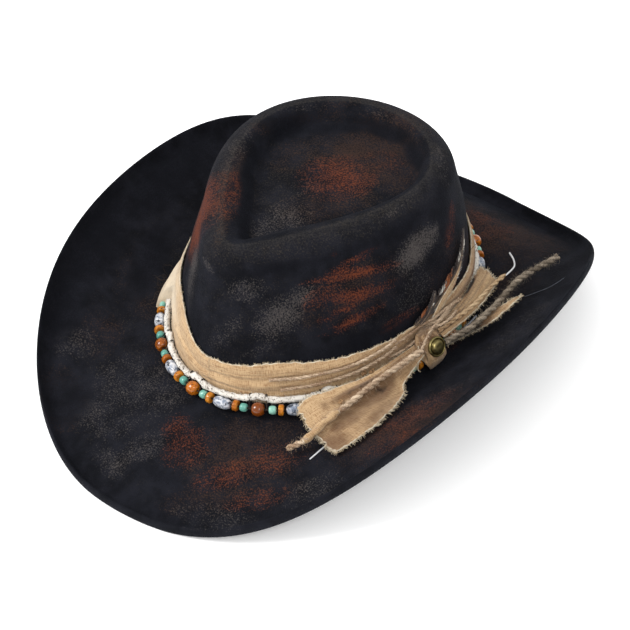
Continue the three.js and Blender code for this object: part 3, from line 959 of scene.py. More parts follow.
@dataclass(frozen=True)
class ClothFinish:
    """Torn tan cotton with a plain weave, stains, painted shade and a painted highlight, and off-white raw edges."""

    name: str
    light: Colour = paint(222, 188, 144)
    dark: Colour = paint(164, 125, 86)
    stain_and_shade: Colour = paint(104, 71, 46)
    shadow: Colour = paint(44, 33, 26)
    raw_edge: Colour = paint(248, 240, 218)
    painted_highlight: Colour = paint(250, 238, 214)
    stained: float = 0.3
    thread_pitch: float = 0.00062
    weave_depth: float = 0.00022

    def material(self) -> Material:
        """Build the cloth's material: weave with painted shade in its hollows, mottle, stored soil and painted shade (a
        painted highlight below zero, a painted shadow at its most), then the frayed edge.
        """
        w = Skin(self.name)
        uv = w.add("ShaderNodeUVMap", uv_map="cloth").outputs[0]
        weave = w.place(EFFECTS.weave, UV=uv, Pitch=self.thread_pitch)
        fibres = w.place(EFFECTS.fibres, Position=w.at, Scale=700.0)
        colour = w.blend(w.ramp(weave["Slub"], 0.36, 0.56), self.dark, self.light)
        # Painted shade in the weave's hollows: the lower the thread, the darker.
        colour = w.blend(w.times(w.ramp(weave["Height"], 0.4, 0.9, 1.0, 0.0), 0.4), colour, self.dark)
        mottle = w.noise(w.at, 90.0, 4.0, 0.65)
        colour = w.blend(w.times(w.ramp(mottle, 0.5, 0.75), self.stained), colour, self.stain_and_shade)
        # Stored soil: stains and painted shade above zero, a painted highlight below zero, a painted shadow at its
        # most.
        soil = w.times(w.stored("soil"), w.times(mottle, 1.2, 0.4))
        colour = w.blend(w.times(w.ramp(soil, 0.0, 1.0), 0.8), colour, self.stain_and_shade)
        colour = w.blend(w.ramp(soil, 1.1, 1.7), colour, self.shadow)
        colour = w.blend(w.ramp(soil, -0.6, 0.0, 0.62, 0.0), colour, self.painted_highlight)
        frayed = w.ramp(w.plus(w.stored("edge"), w.times(fibres["Height"], 0.3)), 0.55, 0.95)
        patchy = w.ramp(w.noise(w.at, 260.0, 3.0, 0.6), 0.38, 0.6, 0.25, 1.0)
        clean = w.times(w.ramp(soil, 0.5, 1.3, 0.85, 0.2), patchy)
        colour = w.blend(w.times(frayed, clean), colour, self.raw_edge)
        values = {"Base Color": colour, "Roughness": 0.95, "Specular IOR Level": 0.2, "Sheen Weight": 0.15}
        return w.finish(values, w.times(fibres["Height"], 0.5, weave["Height"]), self.weave_depth)


@dataclass(frozen=True)
class FibreFinish:
    """Spun or felted fibre: jute, cream cord, thread and raw edges."""

    name: str
    light: Colour
    dark: Colour
    scale: float = 900.0
    depth: float = 0.0002
    roughness: float = 0.95
    low: float = 0.35
    high: float = 0.65
    ply: float = 0.0
    specks: float = 0.0
    speck_shade: float = 0.25

    def material(self) -> Material:
        """Build the fibre's material, with every other ply darker as painted shade and dark specks where it has them.
        """
        w = Skin(self.name)
        fibres = w.place(EFFECTS.fibres, Position=w.at, Scale=self.scale)
        tone = w.times(fibres["Height"], 0.6, w.times(fibres["Tone"], 0.4))
        colour = w.blend(w.ramp(tone, self.low, self.high), self.dark, self.light)
        if self.ply:
            # Every other strand darker: a painted shade between strands that shows the twist.
            colour = w.blend(w.times(w.stored("ply"), self.ply), colour, self.dark)
        if self.specks:
            spots = w.ramp(w.noise(w.stretch(w.at, (520, 520, 700)), 1.0, 3.0, 0.7), 0.56, 0.62)
            colour = w.blend(w.times(spots, self.specks), colour, tuple(self.speck_shade * c for c in self.dark))
        values = {"Base Color": colour, "Roughness": self.roughness, "Specular IOR Level": 0.25}
        return w.finish(values, fibres["Height"], self.depth)


@dataclass(frozen=True)
class BeadFinish:
    """Polished bead: two tones, veins or bands, under a clear coat."""

    name: str
    light: Colour
    dark: Colour
    vein: Colour
    vein_scale: float = 300.0
    vein_low: float = 0.56
    vein_high: float = 0.66
    coat: float = 0.6
    roughness: float = 0.32
    marble: float = 0.6
    bands: bool = False
    swirl: float = 0.004

    def material(self) -> Material:
        """Build the bead's material, its pattern moved along by each bead's stored tone."""
        w = Skin(self.name)
        tone = w.stored("tone")
        moved = w.vmath("ADD", w.at, w.scaled((1.0, 0.6, 0.3), tone))
        if self.bands:
            veins = w.noise(w.stretch(moved, (700, 700, 2600)), 1.0, 3.0, 0.6)
        else:
            swirl = w.noise(moved, 300.0, 2.0, 0.5, output=1)
            veins = w.noise(w.vmath("ADD", moved, w.scaled(swirl, self.swirl)), self.vein_scale, 5.0, 0.7)
        shade = w.times(w.noise(moved, 420.0, 3.0), self.marble, w.times(tone, 1 - self.marble))
        colour = w.blend(w.ramp(shade, 0.32, 0.62), self.light, self.dark)
        colour = w.blend(w.ramp(veins, self.vein_low, self.vein_high), colour, self.vein)
        values = {
            "Base Color": colour, "Roughness": self.roughness, "Coat Weight": self.coat, "Coat Roughness": 0.05,
            "Specular IOR Level": 0.2,
        }  # fmt: skip
        return w.finish(values, w.noise(w.at, 900.0, 3.0), 0.00004)


@dataclass(frozen=True)
class FeatherFinish:
    """Dark barred feather: orange-brown bars and white spots, each spot placed along and across the vane."""

    name: str
    dark: Colour = paint(48, 36, 31)
    bar: Colour = paint(190, 112, 62)
    spot: Colour = paint(246, 240, 228)
    bars: tuple[float, ...] = (0.14, 0.5)
    spots: tuple[tuple[float, float], ...] = ()
    lighter: float = 2.2
    wobble: float = 0.14

    def material(self) -> Material:
        """Build the feather's material."""
        w = Skin(self.name)
        across = w.stored("across")
        place = w.plus(w.stored("along"), w.times(w.less(w.noise(w.at, 500.0, 3.0), 0.5), self.wobble))
        lighter = tuple(self.lighter * c for c in self.dark)
        colour = w.blend(w.ramp(w.noise(w.at, 900.0, 3.0), 0.3, 0.7), self.dark, lighter)
        for centre in self.bars:
            near = w.math("ABSOLUTE", w.less(place, centre))
            colour = w.blend(w.ramp(near, 0.02, 0.06, 1.0, 0.0), colour, self.bar)
        for centre, side in self.spots:
            x, y = w.times(w.less(place, centre), 14.0), w.times(w.less(across, side), 2.6)
            far = w.math("SQRT", w.plus(w.times(x, x), w.times(y, y)))
            colour = w.blend(w.ramp(far, 0.4, 0.8, 1.0, 0.0), colour, self.spot)
        values = {"Base Color": colour, "Roughness": 0.6, "Sheen Weight": 0.2}
        return w.finish(values, w.noise(w.at, 2500.0, 2.0), 0.0001)


@dataclass(frozen=True)
class BrassFinish:
    """Antique brass: dark olive in the hollows, rubbed bright on the high parts."""

    dark: Colour = paint(92, 80, 38)
    bright: Colour = paint(226, 208, 140)

    def material(self) -> Material:
        """Build the metal's material."""
        w = Skin("antique_brass")
        grain = w.noise(w.at, 500.0, 4.0, 0.65)
        amount = w.ramp(w.times(grain, 0.6, w.times(w.stored("rubbed"), 0.6)), 0.3, 0.8)
        colour = w.blend(amount, self.dark, self.bright)
        values = {"Base Color": colour, "Roughness": w.ramp(grain, 0.3, 0.7, 0.28, 0.5), "Metallic": 1.0}
        return w.finish(values, grain, 0.0001)


@dataclass(frozen=True)
class FloorFinish:
    """Plain pale studio floor, faintly uneven, that gives off a little light to soften the shadow."""

    tone: Colour = (0.98, 0.98, 0.98)
    unevenness: float = 0.995
    glow: float = 0.14

    def material(self) -> Material:
        """Build the floor's material."""
        w = Skin("pale_floor")
        soft = w.ramp(w.noise(w.at, 1.5, 1.0), 0.0, 1.0)
        colour = w.blend(soft, self.tone, tuple(self.unevenness * c for c in self.tone))
        return w.finish({
            "Base Color": colour, "Roughness": 1.0, "Specular IOR Level": 0.0, "Emission Color": (1, 1, 1),
            "Emission Strength": self.glow,
        })  # fmt: skip


# ---- where the felt is painted: middle, half length and half width as vectors in millimetres, and strength

RUST_STROKES = (
    (4, 35, 112, 17, 16, 0, -14, 16, 1, 0.8), (18, 65, 112, 17, -2, -1, 1, 13, -1, 0.3),
    (-46, -33, 88, -7, 13, 7, -11, 3, -16, 1.05), (48, -14, 102, 12, 20, 1, -1, 0, 2, 0.95),
    (51, -16, 95, 15, 26, 0, -1, 1, 3, 1.0), (53, -20, 84, 16, 23, 2, -1, 1, 4, 1.05),
    (54, -24, 78, 15, 21, 2, -1, 0, 2, 0.95), (55, -27, 69, 13, 19, 2, -1, 0, 3, 0.9),
    (42, -33, 87, 8, 12, 5, -4, 0, 7, 0.6), (-32, -19, 122, -14, 20, 1, -4, -3, -1, 0.42),
    (-41, -31, 103, 6, 6, 23, -17, 21, -2, 1.35), (76, 55, 93, -3, 9, 12, -1, -6, 4, 0.5),
    (41, -18, 112, 2, 2, 0, 0, 0, 2, 0.95), (73, -2, 58, 5, 17, 0, -1, 0, 5, 0.5),
    (10, -130, 15, 8, 14, 5, -12, 6, 3, 0.6), (43, -132, 13, 17, 15, 5, -7, 6, 3, 0.55),
    (61, -111, 19, 16, 13, 3, -8, 10, 3, 0.45), (68, -137, 10, 18, 12, 5, -5, 6, 3, 0.5),
    (-6, -121, 18, 10, 5, 2, -5, 10, 3, 0.4), (120, -46, 38, 11, 29, 6, -12, 6, -5, 0.42),
    (42, 135, 25, 25, -1, -1, 1, 18, -2, 0.4), (123, -73, 38, 10, 16, 7, -8, 6, -2, 0.45),
    (93, 23, 27, 1, 13, 0, -9, 1, -2, 0.25),
)  # fmt: skip
GREY_STROKES = (
    (0, -16, 110, 6, 20, 1, -15, 4, 2, 0.6), (-5, 20, 112, 10, 16, 1, -10, 6, -1, 0.3),
    (24, -55, 78, 7, 11, 12, -8, -4, 9, 1.3), (8, -58, 97, 10, 7, 2, -3, 2, 9, 1.05),
    (33, -42, 89, 8, 11, 5, -4, 0, 7, 0.75), (-8, -58, 104, 8, -3, -1, 1, 1, 3, 1.3),
    (2, -69, 68, 10, 6, 16, -8, 0, 5, 0.7), (18, -66, 58, 18, 14, 12, -3, 0, 4, 0.5),
    (70, 23, 95, 3, 17, 5, -4, -2, 9, 1.35), (72, 37, 99, 1, 7, 2, -1, -1, 4, 1.1),
    (-56, 12, 122, -6, 24, 2, -6, -2, -2, 0.45), (-54, 74, 117, 14, 42, -11, -2, 2, 4, 0.3),
    (-11, 105, 113, 36, 2, -1, 0, 2, 4, 0.25), (61, 69, 121, -19, 19, 4, -3, -3, 1, 0.4),
    (58, 21, 120, 6, 21, 3, -2, 0, 2, 0.3), (34, -20, 119, 31, 45, 4, -1, 1, 1, 0.3),
    (75, 12, 69, 0, 14, 8, -5, -7, 11, 0.5), (-28, -52, 91, -1, 6, 11, -10, 7, -5, 1.2),
    (-104, -103, 25, -7, 13, 5, -15, -10, 4, 0.35), (-52, -107, 20, -12, 20, 4, -24, -14, -2, 0.5),
    (-15, -141, 10, 8, 13, 5, -9, 5, 2, 0.6), (-30, -157, 3, 16, -3, -1, 2, 7, 3, 0.65),
    (-61, -134, 11, -1, 12, 5, -15, -1, -1, 0.5), (-25, -106, 21, -4, 20, 5, -15, -2, -2, 0.5),
    (-41, -136, 11, 11, 11, 4, -8, 7, 2, 0.5), (133, 42, 44, 0, 34, 0, -15, 0, -9, 0.35),
    (103, -122, 21, 18, 23, 1, 5, -4, 13, 0.35), (52, -158, 8, 28, 9, 4, -1, 1, 6, 0.4),
    (126, -32, 41, 13, 35, 5, -11, 5, -6, 0.3),
)  # fmt: skip
BROWN_STROKES = (
    (5, 62, 112, 25, 24, -1, -23, 24, 0, 0.95), (26, 62, 111, 17, 13, -2, -14, 19, 0, 0.8),
    (14, 104, 113, 29, -9, 1, 1, 3, 6, 0.85), (-34, 93, 109, 32, 20, 0, -6, 9, -1, 0.55),
    (-54, 62, 114, 2, 36, -11, -2, 2, 5, 0.5), (-26, 47, 112, 14, 24, 2, -18, 10, -1, 0.5),
    (13, 11, 111, 20, 29, 0, -14, 9, 2, 0.65), (-47, -3, 122, -11, 24, 1, -7, -3, -2, 0.75),
    (-23, -37, 120, -17, 25, 2, -4, -2, -1, 0.7), (80, 34, 65, 0, 15, 9, -1, -6, 11, 0.6),
    (51, -22, 85, 20, 30, 4, -7, 2, 19, 0.75), (-112, -40, 34, -17, 37, 6, -11, -6, 4, 0.2),
    (-96, -88, 26, -10, 17, 5, -13, -9, 3, 0.4), (57, 137, 25, 40, -4, 1, 4, 33, -3, 1.0),
    (122, -57, 38, 24, 40, 16, -20, 16, -10, 0.9), (45, -114, 18, 36, 27, 6, -16, 20, 5, 0.8),
    (54, -142, 8, 39, 23, 8, -7, 10, 5, 0.65), (-57, -72, 25, -14, 22, 2, -10, -6, 0, 0.5),
    (79, 67, 58, -12, 38, -18, -4, 8, 19, 0.7), (-82, -46, 27, -10, 15, 1, -19, -12, 2, 0.35),
    (91, 82, 28, 3, 33, 2, -22, 2, -4, 0.6), (77, -6, 37, 10, 41, -2, -5, 2, 22, 0.2),
    (-86, -139, 15, 17, -2, 29, -18, 17, 11, 0.35),
)  # fmt: skip
# Near-black strokes, mostly painted shade: along the dent's crease, on the crown's right side and on the far brim.
SHADE_STROKES = (
    (-17, -23, 120, -21, 30, 0, -3, -2, 3, 1.05), (-42, 13, 121, -8, 20, -3, -3, -1, 3, 0.95),
    (-51, 56, 109, 9, 18, 1, -5, 3, -1, 0.9), (-27, 77, 111, 16, 12, 0, -3, 4, 0, 0.8),
    (2, 88, 111, 19, -1, 0, 0, 4, 0, 0.85), (33, 77, 110, 15, -10, -1, 2, 3, 0, 0.85),
    (60, 48, 122, -6, 9, 2, -2, -2, 1, 0.8), (10, -45, 119, 11, 9, 2, -2, 1, 2, 0.9),
    (38, -15, 119, 20, 30, 3, -1, 1, 1, 0.5), (16, -47, 108, 18, 18, 1, -1, 1, 4, 0.95),
    (40, -20, 109, 17, 23, 3, -1, 0, 4, 0.7), (62, 17, 112, 9, 24, 2, -2, 0, 5, 0.8),
    (72, 52, 109, -5, 5, 18, -1, -7, 2, 0.75), (-16, -67, 68, -1, 7, 24, -9, 1, -1, 0.85),
    (51, -40, 54, 24, 28, 1, -2, 1, 6, 0.9), (75, -2, 49, 6, 26, 3, -2, 0, 8, 0.7),
    (30, -36, 102, 9, 11, 2, -1, 1, 3, 0.6), (-139, -38, 49, -11, 40, 8, -11, -5, 10, 1.0),
    (-126, -90, 42, -12, 23, 10, -3, -6, 12, 0.9), (-139, 36, 48, 0, 48, 1, -10, 0, 8, 0.9),
    (-110, -22, 33, -13, 30, 4, -9, -4, 3, 0.7), (85, 68, 26, -4, 17, 0, -10, -3, -2, 0.7),
    (4, -152, 6, 20, 0, -1, 0, 4, 2, 0.6), (-83, -139, 16, 12, -7, -12, -3, 9, -8, 0.7),
)  # fmt: skip
BACK_STROKES = (
    (-30, 118, 60, 22, -4, 8, 2, 2, 12, 0.8), (40, 112, 70, 20, 8, 6, -2, 2, 12, 0.7),
    (10, 140, 26, 30, 4, 2, -4, 20, -2, 0.8), (-70, 90, 40, 14, -26, 2, -14, -8, 6, 0.6),
)  # fmt: skip
CROWN_TOP = 110
SIDE_HEIGHT = 60
CLEAR_OF_MIDDLE = 20


def felt_paints() -> tuple[Paint, ...]:
    """List the hat's paints, with the crown's own side strokes repeated on its hidden side.

    Returns:
        Brown, grey and rust paint, then near-black strokes that are mostly painted shade, in the order they were
        brushed.
    """
    layers = []
    for name, rows, colour, low, high, streaky in (
        ("brown", BROWN_STROKES + BACK_STROKES, paint(62, 46, 39), 0.2, 1.1, 0.3),
        ("grey", GREY_STROKES, paint(86, 81, 79), 0.22, 1.2, 0.3),
        ("rust", RUST_STROKES, paint(112, 58, 38), 0.2, 1.15, 0.8),
        # near-black painted shade, laid last
        ("night", SHADE_STROKES, paint(19, 20, 26), 0.1, 0.9, 0.2),
    ):
        seen = tuple(BrushStroke(row[:3], row[3:6], row[6:9], row[9]) for row in rows)
        hidden = tuple(
            s.mirrored() for s in seen if SIDE_HEIGHT < s.centre[2] < CROWN_TOP and s.centre[0] > CLEAR_OF_MIDDLE
        )
        layers.append(Paint(name, colour, seen + hidden, low, high, streaky))
    return tuple(layers)


# ---- geometry node trees


class Growth:
    """Geometry Nodes trees with named inputs, run on a mesh and kept as plain meshes."""

    SHAPE = {"Geometry": "NodeSocketGeometry"}
    MATERIAL = {"Material": "NodeSocketMaterial"}

    def __init__(self) -> None:
        """Build every tree once."""
        self.strung = self._strung_beads()
        self.laid = self._laid_cord()
        self.threads = self._loose_threads()

    def _start(self, name: str, takes: dict[str, Any]) -> Group:
        """Start a tree that takes and gives a geometry."""
        return Group(name, "GeometryNodeTree", {**self.SHAPE, **takes, **self.MATERIAL}, self.SHAPE)

    def _end(self, w: Group, geometry: Socket) -> bpy.types.NodeTree:
        """End a tree in Realize Instances and Set Material."""
        real = w.add("GeometryNodeRealizeInstances", {"Geometry": geometry})
        smooth = w.add("GeometryNodeSetShadeSmooth", {"Geometry": real.outputs[0]})
        made = w.add("GeometryNodeSetMaterial", {"Geometry": smooth.outputs[0], "Material": w.takes["Material"]})
        return w.give(Geometry=made.outputs[0])

    def _strewn(
        self, w: Group, shape: Socket, spin: tuple[Any, Any], sizes: tuple[float, float], seeds: tuple
    ) -> Socket:
        """Put a shape on every point, its Z along the stored way, spun and sized at random.

        Args:
            w: The tree.
            shape: The shape.
            spin: The least and the most turn about each axis.
            sizes: The least and the greatest size.
            seeds: Seeds of the spin and of the size.

        Returns:
            The instances.
        """
        named = w.add("GeometryNodeInputNamedAttribute", {"Name": "way"}, data_type="FLOAT_VECTOR").outputs[0]
        way = w.add("FunctionNodeAlignRotationToVector", {"Vector": named}, axis="Z").outputs[0]
        inputs = {0: spin[0], 1: spin[1], "Seed": seeds[0]}
        turn = w.add("FunctionNodeRandomValue", inputs, data_type="FLOAT_VECTOR").outputs[0]
        turn = w.add("FunctionNodeEulerToRotation", {0: turn}).outputs[0]
        turned = w.add("FunctionNodeRotateRotation", {0: way, 1: turn}, rotation_space="LOCAL").outputs[0]
        inputs = {2: sizes[0], 3: sizes[1], "Seed": seeds[1]}
        size = w.add("FunctionNodeRandomValue", inputs, data_type="FLOAT").outputs[1]
        if "Spread" in w.takes:
            size = w.times(size, w.takes["Length"])
        inputs = {"Points": w.takes[0], "Instance": shape, "Rotation": turned, "Scale": size}
        return w.add("GeometryNodeInstanceOnPoints", inputs).outputs[0]

    def _strung_beads(self) -> bpy.types.NodeTree:
        """Beads on the points of a mesh, their holes along the stored way."""
        w = self._start("strung_beads", {"Length": 0.0, "Radius": 0.0, "Power": 0.0})
        power, radius = w.takes["Power"], w.takes["Radius"]
        ball = w.add("GeometryNodeMeshUVSphere", {"Segments": 24, "Rings": 14, "Radius": 1.0}).outputs[0]
        x, y, z = w.parts(w.add("GeometryNodeInputPosition").outputs[0])
        sign = w.math("SIGN", z)
        grown = w.times(sign, w.math("POWER", w.math("ABSOLUTE", z), 0.7))
        left = w.less(1.0, w.math("POWER", w.math("ABSOLUTE", grown), power))
        wide = w.math("POWER", w.math("MAXIMUM", left, 0.0), w.over(1.0, power))
        flat = w.math("SQRT", w.plus(w.math("POWER", x, 2.0), w.math("POWER", y, 2.0)))
        share = w.over(wide, w.math("MAXIMUM", flat, 0.0001))
        bore = w.times(w.ramp(wide, 0.12, 0.5, 0.35, 0.0), sign)
        x, y = (w.times(w.times(v, share), radius) for v in (x, y))
        long = w.less(w.times(grown, w.times(w.takes["Length"], 0.5)), w.times(bore, w.times(radius, 0.6)))
        bead = w.add("GeometryNodeSetPosition", {"Geometry": ball, "Position": w.vector(x, y, long)}).outputs[0]
        spin = (0, 0, 0), (0, 0, 6.28)
        return self._end(w, self._strewn(w, bead, spin, (0.95, 1.03), (7, 3)))

    def _laid_cord(self) -> bpy.types.NodeTree:
        """Strands twisted round a line, each a thin tube that swells and sways."""
        w = self._start("laid_cord", {"Strands": 0, "Lay radius": 0.0, "Strand radius": 0.0, "Lay length": 0.0})
        strands, here = w.takes["Strands"], "GeometryNodeInputPosition"
        line = w.add("GeometryNodeMeshToCurve", {"Mesh": w.takes[0]}).outputs[0]
        fine = w.add("GeometryNodeResampleCurve", {"Curve": line, "Length": 0.0006}, mode="LENGTH").outputs[0]
        copies = w.add("GeometryNodeDuplicateElements", {"Geometry": fine, "Amount": strands}, domain="SPLINE").outputs
        run = w.add("GeometryNodeSplineParameter").outputs["Length"]
        turns = w.plus(w.over(run, w.takes["Lay length"]), w.over(copies[1], strands))
        turn = w.times(turns, 2 * np.pi)
        normal = w.add("GeometryNodeInputNormal").outputs[0]
        other = w.vmath("CROSS_PRODUCT", w.add("GeometryNodeInputTangent").outputs[0], normal)
        sway = w.times(w.noise(w.add(here).outputs[0], 260.0, 2.0), 0.5, 0.75)
        out = w.times(w.takes["Lay radius"], sway)
        ways = [w.scaled(v, w.times(w.math(wave, turn), out)) for v, wave in ((normal, "COSINE"), (other, "SINE"))]
        # Mark every other strand for the painted shade that shows the twist.
        inputs = {"Geometry": copies[0], "Name": "ply", "Value": w.math("MODULO", copies[1], 2.0)}
        marked = w.add("GeometryNodeStoreNamedAttribute", inputs, data_type="FLOAT", domain="POINT").outputs[0]
        moved = w.add("GeometryNodeSetPosition", {"Geometry": marked, "Offset": w.vmath("ADD", *ways)}).outputs[0]
        ring = {"Resolution": 7, "Radius": w.takes["Strand radius"]}
        ring = w.add("GeometryNodeCurvePrimitiveCircle", ring, mode="RADIUS").outputs[0]
        swell = w.times(w.noise(w.add(here).outputs[0], 500.0, 3.0), 0.7, 0.65)
        inputs = {"Curve": moved, "Profile Curve": ring, "Scale": swell, "Fill Caps": True}
        return self._end(w, w.add("GeometryNodeCurveToMesh", inputs).outputs[0])

    def _loose_threads(self) -> bpy.types.NodeTree:
        """Short bent threads that grow from points along the stored way."""
        w = self._start("loose_threads", {"Length": 0.0, "Radius": 0.0, "Spread": 0.0, "Bend": 0.0, "Seed": 0})
        bend, wide, seed = w.takes["Bend"], w.takes["Spread"], w.takes["Seed"]
        line = {"Start": (0, 0, 0), "End": (0, 0, 1)}
        line = w.add("GeometryNodeCurvePrimitiveLine", line, mode="POINTS").outputs[0]
        fine = w.add("GeometryNodeResampleCurve", {"Curve": line, "Count": 5}, mode="COUNT").outputs[0]
        factor = w.add("GeometryNodeSplineParameter").outputs["Factor"]
        lean = w.times(w.times(factor, factor), bend)
        curl = w.times(w.math("SINE", w.times(factor, 5.0)), w.times(bend, 0.25))
        bent = w.add("GeometryNodeSetPosition", {"Geometry": fine, "Offset": w.vector(lean, curl, 0.0)}).outputs[0]
        ring = w.add("GeometryNodeCurvePrimitiveCircle", {"Resolution": 3, "Radius": 1.0}, mode="RADIUS").outputs[0]
        slim = w.over(w.takes["Radius"], w.takes["Length"])
        slimmer = w.times(slim, w.times(factor, -0.6, 1.0))
        inputs = {"Curve": bent, "Profile Curve": ring, "Scale": slimmer, "Fill Caps": True}
        hair = w.add("GeometryNodeCurveToMesh", inputs).outputs[0]
        less = w.times(wide, -1.0)
        spin = w.vector(less, less, -3.14), w.vector(wide, wide, 3.14)
        return self._end(w, self._strewn(w, hair, spin, (0.35, 1.15), (seed, seed)))

    def grow(self, tree: bpy.types.NodeTree, piece: Piece, values: dict[str, Any]) -> Piece:
        """Run a tree on a piece and keep the result as a plain mesh.

        Args:
            tree: The tree.
            piece: The piece that feeds it.
            values: Its named inputs.

        Returns:
            The same object with the grown mesh.
        """
        modifier = piece.modifiers.new("growth", "NODES")
        modifier.node_group = tree
        for item in tree.interface.items_tree:
            if item.item_type == "SOCKET" and item.in_out == "INPUT" and item.name in values:
                modifier[item.identifier] = values[item.name]
        piece.data.update()
        bpy.context.view_layer.update()
        depsgraph = bpy.context.evaluated_depsgraph_get()
        mesh = bpy.data.meshes.new_from_object(piece.evaluated_get(depsgraph), depsgraph=depsgraph)
        piece.modifiers.remove(modifier)
        piece.data = mesh
        mesh.name = piece.name
        if not mesh.materials:
            mesh.materials.append(values["Material"])
        return piece

    def cord(self, name: str, path: Array, strands: int, sizes: Sequence[float], material: Material) -> Piece:
        """Lay a twisted cord on a path.

        Args:
            name: The piece's name.
            path: Its centre line in metres.
            strands: How many strands.
            sizes: Lay radius, strand radius and lay length in millimetres.
            material: Its finish.

        Returns:
            The cord.
        """
        line = link_mesh(name, path, [(i, i + 1) for i in range(len(path) - 1)])
        names = ("Lay radius", "Strand radius", "Lay length")
        values = {"Strands": strands, "Material": material, **{k: v * MM for k, v in zip(names, sizes)}}
        return self.grow(self.laid, line, values)


GROWTH = Growth()


@dataclass(frozen=True)
class Hair:
    """Short threads: length and radius in metres, how far they lean aside and how much they bend."""

    length: float
    radius: float
    spread: float
    bend: float

    def grow(self, name: str, places: Array, ways: Array, seed: int, material: Material) -> Piece:
        """Grow threads from places.

        Args:
            name: The piece's name.
            places: Where they stand, in metres.
            ways: Where each one points.
            seed: Fixed seed.
            material: Their finish.

        Returns:
            The threads as one piece.
        """
        cloud = link_mesh(name, places)
        store(cloud, "way", ways)
        values = {"Length": self.length, "Radius": self.radius, "Spread": self.spread, "Bend": self.bend, "Seed": seed}
        return GROWTH.grow(GROWTH.threads, cloud, {**values, "Material": material})


# ---- stage


@dataclass
class Studio:
    """Floor, soft light and the camera at the photo's angle."""

    camera_at: Triple = (0.8351, -0.9498, 1.1314)
    right: Triple = (0.7908, 0.608, -0.0704)
    up: Triple = (-0.3609, 0.556, 0.7488)
    focal_px: float = 2675.48
    frame_px: float = 630.0
    sensor: float = 36.0
    clip: tuple[float, float] = (0.05, 50.0)
    floor_half: float = 12.0
    sky: float = 1.15
    mirrored_sky: float = 0.4
    aim: Triple = (0, 0, 0.05)

    def camera(self) -> None:
        """Make the camera."""
        right, up = unit(np.array(self.right)), unit(np.array(self.up))
        back = unit(np.cross(right, up))
        data = bpy.data.cameras.new("camera")
        data.sensor_width = self.sensor
        data.lens = self.sensor * self.focal_px / self.frame_px
        data.clip_start, data.clip_end = self.clip
        camera = bpy.data.objects.new("camera", data)
        bpy.context.scene.collection.objects.link(camera)
        turn = Matrix((right, np.cross(back, right), back)).transposed()
        camera.matrix_world = Matrix.Translation(self.camera_at) @ turn.to_4x4()
        bpy.context.scene.camera = camera

    def lamp(self, name: str, at: Triple, size: float, power: float) -> None:
        """Hang a square soft lamp that faces the hat.

        Args:
            name: Its name.
            at: Its place in metres.
            size: Its side in metres.
            power: Its power in watts.
        """
        data = bpy.data.lights.new(name, "AREA")
        data.shape, data.size, data.energy = "SQUARE", size, power
        lamp = bpy.data.objects.new(name, data)
        lamp.location = at
        lamp.rotation_mode = "QUATERNION"
        lamp.rotation_quaternion = (Vector(self.aim) - Vector(at)).to_track_quat("-Z", "Y")
        bpy.context.scene.collection.objects.link(lamp)

    def build(self) -> None:
        """Lay the floor and hang the lamps under an even sky that mirrors less than it lights."""
        half = self.floor_half
        corners = np.array([[-half, -half, 0], [half, -half, 0], [half, half, 0], [-half, half, 0]])
        make_mesh("floor", corners, [(0, 1, 2, 3)], FloorFinish().material())
        world = bpy.data.worlds.new("studio")
        world.use_nodes = True
        w = Wires(world.node_tree)
        sky = world.node_tree.nodes["Background"]
        w.feed(sky.inputs["Color"], (1, 1, 1))
        mirrored = w.add("ShaderNodeLightPath").outputs["Is Glossy Ray"]
        w.feed(sky.inputs["Strength"], w.times(mirrored, self.sky * (self.mirrored_sky - 1), self.sky))
        bpy.context.scene.world = world
        self.lamp("key", (-1.2, -1.2, 1.7), 0.9, 42)
        self.lamp("fill", (1.3, -0.9, 1.6), 0.5, 12)
        bpy.context.scene.view_settings.view_transform = "Standard"
        LOG.info("stage: camera, floor and two lamps")


# ---- felt


